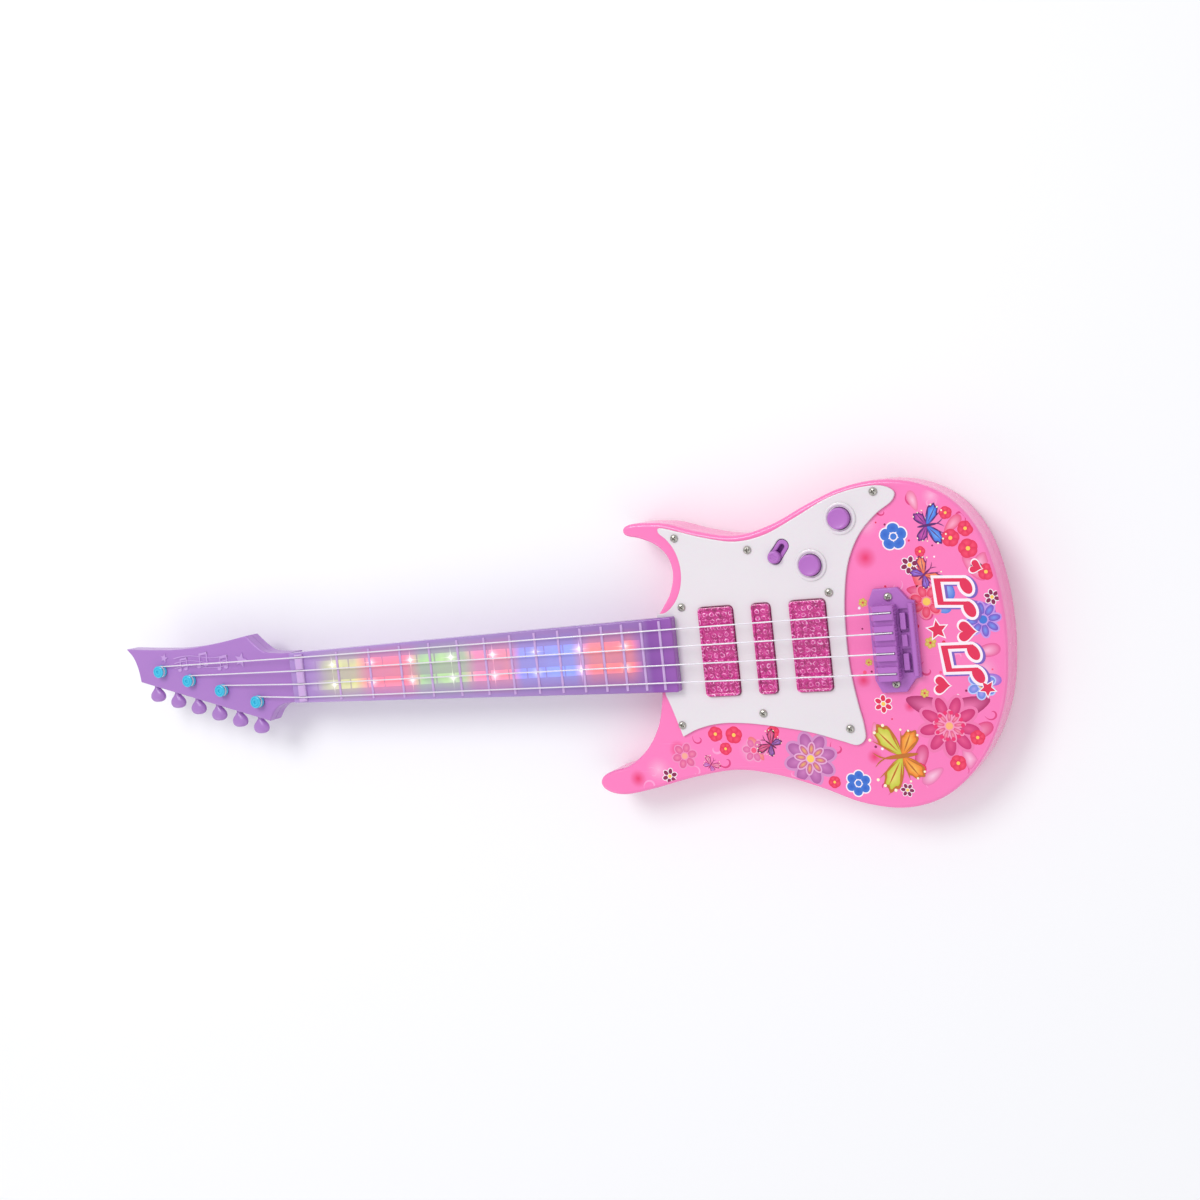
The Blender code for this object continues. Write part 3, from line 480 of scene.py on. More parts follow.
def on_body_face(place):
    """Whether this place lies on the flat part of the body's face."""
    inside = False
    for a, b in zip(film_line, film_line[1:] + film_line[:1]):
        crosses = (a.y > place[1]) != (b.y > place[1])
        if crosses and place[0] < a.x + (place[1] - a.y) * (b.x - a.x) / (b.y - a.y):
            inside = not inside
    return inside


def ink_patch(outline, layer, rim, middle=None):
    """One flat patch of ink on the body; with a middle colour it fades from there to its rim. It stops at
    the rounded edge of the body."""
    centre = Vector([sum(p[i] for p in outline) / len(outline) for i in (0, 1)])
    if not on_body_face(centre):
        return
    kept = []
    for place in outline:
        share = 1.0
        while share > 0 and not on_body_face(centre.lerp(Vector(place[:2]), share)):
            share -= 0.04
        kept.append(centre.lerp(Vector(place[:2]), max(share, 0.02)))
    outline = kept
    top = BODY_TOP - HAIR / 2 + layer * INK_STEP
    upper = [film_mesh.verts.new((p[0], p[1], top)) for p in outline]
    lower = [film_mesh.verts.new((p[0], p[1], BODY_TOP - 0.3)) for p in outline]
    count = len(outline)
    faces = [
        film_mesh.faces.new((lower[k], lower[(k + 1) % count], upper[(k + 1) % count], upper[k]))
        for k in range(count)
    ]
    faces.append(film_mesh.faces.new(lower[::-1]))
    heart = None
    if middle:
        heart = film_mesh.verts.new((*centre, top))
        faces += [film_mesh.faces.new((upper[k], upper[(k + 1) % count], heart)) for k in range(count)]
    else:
        faces.append(film_mesh.faces.new(upper))
    for face in faces:
        for loop in face.loops:
            loop[film_ink] = colour(*(middle if loop.vert is heart else rim))


def leaf(x, y, turn, reach, half_width, start=0.0, point=0.0, steps=20):
    """A petal or wing outline that starts near (x, y) and reaches out along turn; point sharpens its tip."""
    line = []
    for k in range(steps):
        t = 2 * math.pi * k / steps
        out = start + (reach - start) * (1 - math.cos(t)) / 2
        wide = half_width * math.sin(t) * (1 - point * (1 - math.cos(t)) / 2)
        line.append((
            x + out * math.cos(turn) - wide * math.sin(turn),
            y + out * math.sin(turn) + wide * math.cos(turn),
        ))
    return line


def flower(x, y, radius, petals, turn, petal, heart, edge=None, layer=1, fade=None, width=0.52):
    """Petals round a heart; with an edge colour, each petal gets an outline of that colour."""
    half = radius * math.sin(math.pi / petals) * width * 1.25
    for k in range(petals):
        angle = turn + 2 * math.pi * k / petals
        lift = 0.09 * k
        if edge:
            ink_patch(leaf(x, y, angle, radius, half, radius * 0.16), layer + lift, edge)
        rim = radius * 0.09 if edge else 0.0
        ink_patch(
            leaf(x, y, angle, radius - rim, half - rim, radius * 0.16 + rim), layer + 1 + lift, petal, fade
        )
    if edge:
        ink_patch(circle(x, y, radius * 0.30, 18), layer + 2, edge)
    ink_patch(circle(x, y, radius * 0.22, 18), layer + 3, heart)


def wing(x, y, turn, size, lobes, squeeze):
    """A wing outline: it widens from the root to a scalloped outer edge and ends in a point."""
    outline = []
    for k in range(41):
        t = k / 40
        spread = (t - 0.5) * squeeze
        reach = size * (0.06 + 0.94 * math.sin(math.pi * t) ** 0.62) * (1 - 0.34 * t)
        reach *= 1 + 0.045 * math.cos(2 * math.pi * lobes * t)
        outline.append((x + reach * math.cos(turn + spread), y + reach * math.sin(turn + spread)))
    return outline


def butterfly(x, y, size, turn, upper, lower, vein, layer):
    """Two pairs of wings with a dark rim, a paler middle, veins and a slim body with feelers."""
    root = Vector((x, y))
    for side in (-1, 1):
        for reach, squeeze, angle, ink in ((1.0, 1.15, 0.95, upper), (0.74, 1.35, 2.1, lower)):
            out = turn + side * angle
            lift = layer + 0.2 * (side > 0) + 0.1 * (reach < 1)
            squeeze *= -side
            ink_patch(wing(x, y, out, size * reach, 5, squeeze), lift, vein)
            ink_patch(wing(x, y, out, size * reach * 0.91, 5, squeeze * 0.86), lift + 1, *ink)
            for fan in (-0.3, 0.0, 0.3):
                tip = root + size * reach * 0.72 * Vector(
                    (math.cos(out + fan * squeeze), math.sin(out + fan * squeeze))
                )
                ribbon(
                    [root.lerp(tip, s) for s in (0.2, 0.4, 0.6, 0.8, 1.0)], size * 0.035,
                    lift + 2 + 0.02 * fan, vein,
                )
            for fan in (-0.2, 0.08, 0.3):
                spot = root + size * reach * 0.78 * Vector(
                    (math.cos(out + fan * squeeze), math.sin(out + fan * squeeze))
                )
                ink_patch(circle(spot.x, spot.y, size * reach * 0.035, 10), lift + 2.2, (255, 246, 214))
    along = Vector((math.cos(turn), math.sin(turn)))
    tail = root - size * 0.35 * along
    ink_patch(leaf(*tail, turn, size * 0.75, size * 0.05), layer + 3, vein)
    for side in (-1, 1):
        feeler = [
            root + size * (0.34 + 0.3 * s) * along + side * size * 0.16 * s * s * Vector((-along.y, along.x))
            for s in (0, 0.25, 0.5, 0.75, 1)
        ]
        ribbon(feeler, size * 0.03, layer + 2.6 + 0.1 * side, vein)


def ribbon(points, width, layer, ink):
    """A curl of ink that tapers at both ends."""
    count, left, right = len(points), [], []
    for i, p in enumerate(points):
        along = (points[min(i + 1, count - 1)] - points[max(i - 1, 0)]).normalized()
        half = width / 2 * (0.12 + math.sin(math.pi * i / (count - 1)))
        left.append(p + Vector((-along.y, along.x)) * half)
        right.append(p - Vector((-along.y, along.x)) * half)
    ink_patch([(p.x, p.y) for p in left + right[::-1]], layer, ink)


def curl(x, y, radius, turn, ink, hand=1, layer=1):
    points = []
    for k in range(26):
        t = k / 25
        angle = turn + hand * t * 4.6
        points.append(Vector((x, y)) + radius * (1 - 0.80 * t) * Vector((math.cos(angle), math.sin(angle))))
    ribbon(points, radius * 0.22, layer, ink)


def glow(x, y, radius, ink):
    """A soft spot that fades into the body's own colour, in rings of ever stronger ink."""
    for k in range(8):
        share = (k + 1) / 8
        mixed = [b + (i - b) * share**1.3 for b, i in zip(BODY_INK, ink)]
        ink_patch(circle(x, y, radius * (1.06 - share), 24), 0.3 + 0.08 * k, mixed)


def turned_points(points, x, y, size, turn):
    return [Vector((x, y)) + Matrix.Rotation(turn, 2) @ (Vector(p) * size) for p in points]


def star(x, y, size, turn, fill, edge, layer):
    shape = [
        (r * math.cos(k * math.pi / 5), r * math.sin(k * math.pi / 5)) for k, r in enumerate([1, 0.48] * 5)
    ]
    ink_patch(turned_points(shape, x, y, size * 1.28, turn), layer, edge)
    ink_patch(turned_points(shape, x, y, size, turn), layer + 1, fill)


def heart(x, y, size, turn, fill, edge, layer):
    shape = []
    for k in range(36):
        t = 2 * math.pi * k / 36
        shape.append((
            0.062 * 16 * math.sin(t) ** 3,
            0.062 * (13 * math.cos(t) - 5 * math.cos(2 * t) - 2 * math.cos(3 * t) - math.cos(4 * t)) + 0.12,
        ))
    ink_patch(turned_points(shape, x, y, size * 1.22, turn), layer, edge)
    ink_patch(turned_points(shape, x, y, size, turn), layer + 1, fill)


def note(x, y, size, turn, fill, edge, layer):
    """A beamed pair of quavers: oval heads, stems and a beam, with a rim and a soft shadow."""
    shadow = (turn, x + 0.11 * size, y - 0.06 * size, (122, 92, 190))
    for grow, lift, (angle, at_x, at_y, ink) in (
        (0.17, 0, shadow), (0.15, 1.2, (turn, x, y, edge)), (0.0, 2.4, (turn, x, y, fill)),
    ):
        def stamp(points, raised_by):
            ink_patch(turned_points(points, at_x, at_y, size, angle), layer + lift + raised_by, ink)

        for i, (hx, hy) in enumerate([(-0.60, -0.75), (0.62, -0.58)]):
            turns = [k * math.pi / 12 for k in range(24)]
            stamp([
                (hx + (0.42 + grow) * math.cos(t), hy + (0.31 + grow) * math.sin(t) + 0.13 * math.cos(t))
                for t in turns
            ], 0.1 * i)
            left, right, top = hx + 0.22 - grow, hx + 0.41 + grow, hy + 1.65 + grow
            stamp([(left, hy), (right, hy), (right, top), (left, top)], 0.3 + 0.1 * i)
        left, right = -0.38 - grow, 1.03 + grow
        stamp([(left, 0.58 - grow), (right, 0.78 - grow), (right, 1.12 + grow), (left, 0.92 + grow)], 0.6)


WHITE_INK, RED_INK, DEEP_INK, BLUE_INK = (255, 240, 248), (232, 34, 84), (150, 22, 84), (64, 120, 214)
SUN_INK, VIOLET_INK, ROSE_INK = (255, 205, 90), (146, 60, 150), (252, 84, 130)

for x, y, radius in ((230, 47, 7), (222, -22, 5), (247, -38, 4), (224, -66, 5), (76, -75, 6), (104, -58, 6)):
    glow(x, y, radius, (240, 50, 110))
for x, y, radius in ((150, -60, 8), (270, 78, 6), (290, -20, 9), (232, 66, 8), (90, -70, 9), (250, -20, 8)):
    glow(x, y, radius, (255, 178, 216))

for x, y, radius, angle, hand in (
    (260, 77, 5, 2.0, 1), (269, 75, 4, 0.4, -1), (284, 65, 4.5, 5.2, 1), (128, -58, 5.5, 1.2, -1),
    (150, -56, 6, 3.9, 1), (134, -66, 5, 3.0, 1), (175, -74, 4, 0.9, -1), (203, -60, 5, 2.4, 1),
    (256, -80, 5.5, 4.1, -1), (272, -74, 5, 5.6, 1), (262, 14, 5, 3.4, 1), (242, 72, 4, 1.7, 1),
    (110, -64, 4.5, 0.2, 1), (86, -72, 4, 2.2, -1), (228, -84, 4.5, 5.1, 1), (118, -52, 4, 2.6, 1),
    (100, -79, 6, 1.0, -1), (84, -80, 5, 3.4, -1), (114, -72, 4, 2.2, -1),
    (246, 30, 4, 0.8, -1), (259, -18, 5, 1.9, 1), (277, -12, 4.5, 4.6, -1), (292, -44, 4.2, 3.4, 1),
):
    curl(x, y, radius, angle, (226, 60, 128) if hand > 0 else (255, 160, 208), hand)
random.seed(11)
for _ in range(46):
    x, y = random.uniform(222, 296), random.uniform(-84, 78)
    if math.hypot((x - 230) / 74, y / 88) < 0.92:
        ink_patch(
            circle(x, y, random.uniform(0.5, 1.2), 10), 1,
            random.choice([DEEP_INK, ROSE_INK, WHITE_INK, RED_INK]),
        )

# Large soft flowers first, then the small bright ones on top.
for x, y, angle, reach, half, ink, fade in (
    (270, -44, 2.75, 27, 7.4, (176, 22, 100), (244, 120, 176)),
    (266, -44, 0.3, 27, 7.4, (176, 22, 100), (244, 120, 176)),
    (275, 14, 2.5, 17, 5.2, (84, 130, 222), (176, 206, 250)),
    (276, 20, 1.9, 15, 4.6, (70, 110, 214), (160, 190, 246)),
    (262, 26, 1.9, 17, 5.0, (240, 60, 90), (255, 140, 150)),
    (266, 24, 2.9, 15, 4.6, (226, 50, 110), (250, 130, 170)),
    (296, 30, 2.3, 18, 5.0, (238, 90, 150), (255, 180, 210)),
    (299, 10, 2.6, 16, 4.6, (150, 90, 200), (200, 160, 240)),
    (292, -50, 3.6, 18, 5.0, (226, 60, 126), (250, 150, 190)),
    (281, -76, 2.0, 16, 4.6, (236, 110, 170), (255, 190, 220)),
    (250, -82, 0.6, 15, 4.4, (236, 110, 170), (255, 200, 225)),
    (150, -52, 5.2, 16, 3.6, (240, 110, 120), (255, 180, 170)),
    (285, 66, 3.9, 13, 3.8, (238, 80, 130), (255, 170, 200)),
    (258, 82, 5.0, 12, 3.4, (240, 110, 160), (255, 190, 215)),
    (300, -8, 3.3, 15, 4.6, (232, 84, 150), (255, 180, 214)),
    (299, -26, 3.0, 14, 4.2, (150, 100, 206), (214, 170, 240)),
    (298, 44, 3.9, 15, 4.4, (236, 96, 150), (255, 186, 214)),
    (253, -60, 4.4, 17, 4.6, (216, 52, 120), (246, 140, 184)),
    (284, -62, 5.4, 13, 4.2, (190, 30, 100), (240, 110, 160)),
    (226, -58, 1.6, 12, 3.2, (240, 110, 160), (255, 190, 216)),
):
    ink_patch(leaf(x, y, angle, reach, half, point=0.45), 1.5, ink, fade)
for k in range(14):
    angle = k * 2 * math.pi / 14
    ink_patch(
        circle(268 + 7.6 * math.cos(angle), -50 + 7.6 * math.sin(angle), 1.15, 12), 10.5, (240, 40, 110)
    )
for bloom in (
    (186, -66, 16.5, 8, 0.2, (176, 86, 158), VIOLET_INK, (214, 140, 196), 2, (206, 120, 186), 0.62),
    (186, -66, 10.0, 8, 0.6, (198, 70, 150), SUN_INK, (232, 170, 210), 6, (240, 180, 90), 0.50),
    (268, -50, 18.5, 9, 0.5, (206, 34, 112), DEEP_INK, (244, 120, 176), 2, (236, 80, 140), 0.60),
    (268, -50, 9.5, 9, 0.1, (228, 60, 124), (255, 180, 120), (250, 150, 190), 6, (250, 150, 170), 0.46),
    (292, 8, 10.5, 8, 0.9, (120, 70, 190), BLUE_INK, (196, 150, 230), 2, (120, 150, 240), 0.56),
    (288, -28, 8.5, 6, 0.4, (96, 130, 220), SUN_INK, (190, 200, 245), 2, (170, 160, 240), 0.55),
    (262, 20, 10.0, 7, 0.1, (236, 44, 90), SUN_INK, (250, 130, 160), 2, (250, 110, 140), 0.58),
    (152, -60, 7.5, 6, 0.9, (228, 96, 160), ROSE_INK, (246, 160, 200), 1, (240, 130, 180), 0.55),
    (108, -62, 8.5, 6, 0.2, (226, 84, 146), (250, 170, 150), (244, 140, 190), 1, (246, 130, 170), 0.55),
):
    flower(*bloom)
for x, y, radius, petals, angle in ((247, 57.5, 8.3, 5, 1.57), (213, -81, 8.0, 6, 0.4)):
    flower(x, y, radius, petals, angle, BLUE_INK, BLUE_INK, WHITE_INK, 8, (40, 96, 200), 0.66)
for x, y, radius, angle in (
    (254.5, 41, 5.4, 1.3), (97, -74, 5.2, 0.3), (298, 20, 4.6, 0.7), (241, -85.5, 4.2, 0.9)
):
    flower(x, y, radius, 6, angle, (140, 24, 80), SUN_INK, WHITE_INK, 8)
flower(232, -36, 5.6, 6, 0.5, RED_INK, SUN_INK, WHITE_INK, 8)
for x, y, radius, angle in (
    (278.5, 54, 5.0, 0.2), (287, 58.5, 4.4, 0.9), (287.5, 47.5, 5.4, 0.5), (296, 34, 4.6, 0.1),
    (129, -49.5, 4.6, 0.6), (140.5, -50.5, 5.2, 0.2), (134.5, -58.5, 3.8, 1.0), (165, -49.5, 3.8, 0.3),
    (271, -71, 4.6, 0.7), (283, -57, 4.2, 0.2), (249, -74, 4.0, 0.4), (199, -80, 3.6, 0.8),
    (277, 68, 3.6, 0.4), (261, 48, 3.0, 0.1),
):
    flower(x, y, radius, 5, angle, RED_INK, SUN_INK, None, 9, (250, 70, 110), 0.78)
for x, y, radius in ((262, -3, 3.4), (226, 22, 2.6), (256, -31, 2.6), (218, -52, 2.4), (226, -12, 2.2)):
    flower(x, y, radius, 6, 0.3, (214, 176, 70), RED_INK, None, 9, (236, 206, 110), 0.6)

for x, y, size, turn, layer, vein, upper, lower in (
    (266, 62, 15, 0.1, 10, (84, 26, 110), ((60, 110, 220), (110, 170, 250)),
     ((150, 40, 150), (220, 90, 180))),
    (262, 35, 12.5, 0.7, 11, (120, 24, 100), ((246, 100, 66), (255, 170, 120)),
     ((110, 60, 180), (170, 130, 230))),
    (240, -66, 26, 3.25, 13, (196, 110, 30), ((196, 200, 52), (240, 224, 110)),
     ((246, 128, 26), (255, 196, 84))),
    (163, -57, 11, 2.5, 12, (104, 18, 70), ((206, 40, 110), (240, 120, 160)),
     ((110, 60, 150), (190, 120, 200))),
    (124, -68, 7.5, 0.9, 6, (170, 40, 110), ((236, 100, 150), (250, 170, 200)),
     ((190, 90, 190), (230, 160, 220))),
):
    butterfly(x, y, size, turn, upper, lower, vein, layer)

# Music motifs take the place of lettering: red with a white outline, down the strap end.
note(278, 21, 10.5, 1.50, RED_INK, WHITE_INK, 17)
star(266.5, 4, 5.4, 0.4, RED_INK, WHITE_INK, 18)
heart(283, 2, 5.6, 1.5, RED_INK, WHITE_INK, 18)
note(279, -16, 10.5, 1.55, RED_INK, WHITE_INK, 17)
heart(266.5, -27, 4.8, 1.45, RED_INK, WHITE_INK, 18)
star(291, -30, 4.4, 0.9, RED_INK, WHITE_INK, 18)
heart(291, 37, 3.6, 1.2, RED_INK, WHITE_INK, 18)

film_print = object_from("film_print", film_mesh)

FILM = plastic("printed_film", colour(*BODY_INK), 0.22, coat=0.35, subsurface=0.03, Variation=0.03)
film_ink_node = FILM.node_tree.nodes.new("ShaderNodeVertexColor")
film_ink_node.layer_name = "ink"
FILM.node_tree.links.new(film_ink_node.outputs["Color"], skin_of(FILM).inputs["Tone"])
settle(film_print, "guitar", "pink_plastic", FILM)
film_print.data.shade_flat()

# ------------------------------------------------------------------ pickguard
# A white styrene plate, moulded with a raised collar round each push button and a bevelled lip round
# every opening. Eight self-tapping screws hold it on the front shell.
GUARD_OUTLINE = [
    (105.5, 24.5), (112.5, 30), (117.2, 39), (118.5, 50), (116, 60.5), (111.5, 67.5), (106.8, 72.2),
    (107, 74.8), (118, 72.2), (134, 67.2), (154, 63), (172, 65.3), (192, 73.7), (212, 82.8), (231, 86.8),
    (244.5, 86.2), (250.3, 82.2), (248.8, 77.8), (239, 71.2), (228.5, 61), (220.5, 46), (216.3, 26),
    (215, 6), (215.3, -14), (217.8, -34), (220.2, -48), (220, -55.5), (215.5, -58.8), (207, -56.5),
    (190, -51), (170, -46.8), (150, -43.8), (133, -43.3), (119, -46), (109, -50.3, "corner"), (106.5, -42),
    (103, -31), (100.5, -24.5, "corner"), (100.5, 24.5, "corner"),
]
GUARD_LOW, GUARD_TOP = 30.3, 31.8
GUARD_SCREWS = [
    (117, 68), (161.5, 57.4), (117, 27.1), (109.5, -43.1), (161, -38.1), (212, -49.1), (207.5, 29.3),
    (238.5, 83.6),
]

WHITE = plastic(
    "white_styrene", colour(232, 224, 228), 0.2, coat=0.3, subsurface=0.12, Variation=0.02, Smudge=0.16
)
guard_line = inset(smooth_outline(GUARD_OUTLINE, 6), HAIR / 2)
guard = loft("pickguard_plate", [block(guard_line, GUARD_LOW, GUARD_TOP, 0.6, 4)])
collars = [
    turned(
        x, y,
        [
            (9.25, 30.6), (9.25, 32.3), (9.1, 32.7), (8.75, 32.95), (8.3, 33.0), (7.7, 33.0), (7.3, 32.8),
            (7.0, 32.4),
        ],
        64,
    )
    for x, y in BUTTONS.values()
]
combine(guard, "UNION", collars)
lips = []
for x, width in PICKUPS.values():
    ring = [(0.6, 29.5), (0.6, GUARD_TOP - 0.45), (1.5, GUARD_TOP + 0.05), (1.5, 33)]
    lips.append(
        [
            at_height(rounded_rectangle(x, PICKUP_Y, width + w, PICKUP_LENGTH + w, 2.5 + w / 4), z)
            for w, z in ring
        ]
    )
ring = [(0.0, 29.5), (0.0, GUARD_TOP - 0.45), (0.9, GUARD_TOP + 0.05), (0.9, 33)]
lips.append(
    [
        at_height(rounded_rectangle(*SWITCH_PLACE, 16 + w, 8 + w, 3.9 + w / 2, 10, SWITCH_TURN), z)
        for w, z in ring
    ]
)
lips += [turned(x, y, [(6.6, 29), (6.6, 34)], 48) for x, y in BUTTONS.values()]
combine(guard, "DIFFERENCE", lips)
combine(guard, "DIFFERENCE", holes(GUARD_SCREWS, SCREW_HOLE, 29, 33))
settle(guard, "guitar", "white_plastic", WHITE, "pickguard")

# ------------------------------------------------------------------ pickup lenses
# Three magenta see-through styrene blocks that stand for pickups. Each has a smooth rim round rows of
# cut facets, four millimetres apart, with long facets at both ends, and clips under the pickguard.
LENS_TOP, CELL = 34.3, 4.0


def copies_on_points_tree():
    """Puts a copy of a template at every point, turned and sized by the point's own attributes, with an
    extra turn drawn from the seed."""
    tree = bpy.data.node_groups.new("copies_on_points", "GeometryNodeTree")
    add = tree.interface.new_socket
    add("Points", in_out="INPUT", socket_type="NodeSocketGeometry")
    add("Template", in_out="INPUT", socket_type="NodeSocketObject")
    add("Finish", in_out="INPUT", socket_type="NodeSocketMaterial")
    add("Extra Turn", in_out="INPUT", socket_type="NodeSocketFloat")
    add("Seed", in_out="INPUT", socket_type="NodeSocketInt").default_value = 3
    add("Copies", in_out="OUTPUT", socket_type="NodeSocketGeometry")
    new, link = tree.nodes.new, tree.links.new
    given, result = new("NodeGroupInput"), new("NodeGroupOutput")

    def attribute(name, kind):
        node = new("GeometryNodeInputNamedAttribute")
        node.data_type = kind
        node.inputs["Name"].default_value = name
        return node.outputs["Attribute"]

    template = new("GeometryNodeObjectInfo")
    chance = new("FunctionNodeRandomValue")
    both, most = new("ShaderNodeMath"), new("ShaderNodeMath")
    most.operation = "MULTIPLY"
    link(given.outputs["Template"], template.inputs["Object"])
    link(given.outputs["Seed"], chance.inputs["Seed"])
    link(next(s for s in chance.outputs if s.type == "VALUE"), most.inputs[0])
    link(given.outputs["Extra Turn"], most.inputs[1])
    link(attribute("turn", "FLOAT"), both.inputs[0])
    link(most.outputs[0], both.inputs[1])
    spin, put = new("ShaderNodeCombineXYZ"), new("GeometryNodeInstanceOnPoints")
    link(both.outputs[0], spin.inputs["Z"])
    link(given.outputs["Points"], put.inputs["Points"])
    link(template.outputs["Geometry"], put.inputs["Instance"])
    link(spin.outputs[0], put.inputs["Rotation"])
    link(attribute("size", "FLOAT_VECTOR"), put.inputs["Scale"])
    real, finish = new("GeometryNodeRealizeInstances"), new("GeometryNodeSetMaterial")
    link(put.outputs[0], real.inputs[0])
    link(real.outputs[0], finish.inputs["Geometry"])
    link(given.outputs["Finish"], finish.inputs["Material"])
    link(finish.outputs[0], result.inputs["Copies"])
    return tree


COPIES_ON_POINTS = copies_on_points_tree()


def copies(name, template, places, material, extra_turn=0.0, seed=3):
    """One mesh of copies of the template; places are ((x, y, z), turn, (size x, y, z))."""
    mesh = bpy.data.meshes.new(name)
    mesh.from_pydata([p[0] for p in places], [], [])
    turns = mesh.attributes.new("turn", "FLOAT", "POINT")
    sizes = mesh.attributes.new("size", "FLOAT_VECTOR", "POINT")
    for i, (_, turn, size) in enumerate(places):
        turns.data[i].value = turn
        sizes.data[i].vector = size
    made = new_object(name, mesh)
    modifier = made.modifiers.new("copies", "NODES")
    modifier.node_group = COPIES_ON_POINTS
    sockets = {s.name: s.identifier for s in COPIES_ON_POINTS.interface.items_tree if s.in_out == "INPUT"}
    for socket, value in (
        ("Template", template), ("Finish", material), ("Extra Turn", extra_turn), ("Seed", seed)
    ):
        modifier[sockets[socket]] = value
    freeze(made)
    bpy.data.objects.remove(template)
    return made


def join(target, *others):
    """The others' meshes added to the target's own."""
    bm = bmesh.new()
    for one in (target, *others):
        bm.from_mesh(one.data)
    bm.to_mesh(target.data)
    bm.free()
    for one in others:
        bpy.data.objects.remove(one)
    return target


def shader_tools(tree):
    """Two shorthands for a material's nodes: one Math node, and one colour ramp with 0 to 255 tones."""
    new, link = tree.nodes.new, tree.links.new

    def maths(operation, a, b=None, c=None):
        node = new("ShaderNodeMath")
        node.operation = operation
        for socket, value in zip(node.inputs, (a, b, c)):
            if isinstance(value, (int, float)):
                socket.default_value = value
            elif value is not None:
                link(value, socket)
        return node.outputs[0]

    def ramp(source, stops, smooth="LINEAR"):
        node = new("ShaderNodeValToRGB")
        node.color_ramp.interpolation = smooth
        while len(node.color_ramp.elements) < len(stops):
            node.color_ramp.elements.new(0.5)
        for element, (at, tone) in zip(node.color_ramp.elements, stops):
            element.position, element.color = at, colour(*tone)
        link(source, node.inputs["Fac"])
        return node.outputs["Color"]

    return maths, ramp


def sparkle_material():
    """Magenta see-through styrene over cut facets, with painted highlights: a broken bright ring painted in
    each facet, deep magenta between them, and small painted glints. It reads Object coordinates in metres."""
    made = plastic(
        "magenta_styrene", colour(214, 38, 142), 0.07, coat=1.0, subsurface=0.08, Variation=0.1, Smudge=0.05
    )
    tree = made.node_tree
    new, link = tree.nodes.new, tree.links.new
    maths, ramp = shader_tools(tree)
    place, parts = new("ShaderNodeTexCoord"), new("ShaderNodeSeparateXYZ")
    link(place.outputs["Object"], parts.inputs[0])

    def noise(scale, detail):
        node = new("ShaderNodeTexNoise")
        node.inputs["Scale"].default_value, node.inputs["Detail"].default_value = scale, detail
        link(place.outputs["Object"], node.inputs["Vector"])
        return node.outputs["Fac"]

    wobble = maths("MULTIPLY", maths("SUBTRACT", noise(520, 2), 0.5), 2.2)
    step_x = maths(
        "ADD", maths("MULTIPLY", maths("SUBTRACT", parts.outputs["X"], TO_FRAME.translation.x + 0.002), 1000),
        wobble,
    )
    step_y = maths(
        "SUBTRACT",
        maths("MULTIPLY", maths("SUBTRACT", parts.outputs["Y"], TO_FRAME.translation.y - 0.0003), 1000),
        wobble,
    )
    dx = maths("SUBTRACT", maths("WRAP", step_x, CELL, 0.0), CELL / 2)
    dy = maths("SUBTRACT", maths("WRAP", step_y, CELL, 0.0), CELL / 2)
    far = maths("SQRT", maths("ADD", maths("MULTIPLY", dx, dx), maths("MULTIPLY", dy, dy)))
    # Painted highlights: a broken bright ring in each facet and small glints, lifted up the colour ramp.
    ring = maths("SUBTRACT", 1.0, maths("DIVIDE", maths("ABSOLUTE", maths("SUBTRACT", far, 1.15)), 0.42))
    painted_ring_highlight = maths("MULTIPLY", maths("MAXIMUM", ring, 0.0), maths("MULTIPLY_ADD", noise(380, 1), 4.0, -1.45))
    painted_glints = maths("MULTIPLY_ADD", noise(1500, 1), 5.0, -3.1)
    light = maths("MAXIMUM", painted_ring_highlight, maths("MAXIMUM", painted_glints, 0.0))
    body = maths("MULTIPLY_ADD", noise(330, 3), 0.5, 0.0)
    tone = ramp(maths("MULTIPLY_ADD", light, 0.6, body), (
        (0.10, (120, 6, 78)), (0.24, (190, 22, 122)), (0.34, (216, 40, 146)), (0.56, (240, 110, 190)),
        (0.92, (255, 214, 240)),
    ))
    link(tone, skin_of(made).inputs["Tone"])
    return made


MAGENTA = sparkle_material()
for name, (x, width) in PICKUPS.items():
    flange, face = (
        rounded_rectangle(x, PICKUP_Y, width + w, PICKUP_LENGTH + w, r, 8)
        for w, r in ((3.3, 2.6), (-0.1, 2.2))
    )
    rings = [
        at_height(flange, 28.25), at_height(flange, 29.95), at_height(face, 29.95), at_height(face, 33.6)
    ]
    for lower, back in ((0.22, 0.05), (0.0, 0.4), (0.0, 1.1), (0.12, 1.45), (0.75, 1.6)):
        rings.append(at_height(inset(face, back), LENS_TOP - lower))
    lens = loft(f"lens_{name}", [rings])
    facet = loft("facet", [turned(0, 0, [(1.0, -0.5), (1.0, 0.0), (0.62, 0.62), (0.3, 0.85)], 8)])
    columns = round((width - 3) / CELL)
    rows = 12
    places = []
    for column in range(columns):
        cx = x + (column - (columns - 1) / 2) * CELL
        for row in range(1, rows - 1):
            cy = PICKUP_Y + (row - (rows - 1) / 2) * CELL
            places.append(((cx, cy, LENS_TOP - 0.85), 0.39, (1.95, 1.95, 0.9)))
        for end in (-1, 1):
            places.append(
                ((cx, PICKUP_Y + end * (rows - 1) / 2 * CELL, LENS_TOP - 0.85), 0.39, (1.95, 2.2, 0.95))
            )
    facets = copies("facets", facet, places, MAGENTA, 0.5)
    join(lens, facets)
    settle(lens, "guitar", "magenta_lens", MAGENTA, f"pickup_lens_{name}")
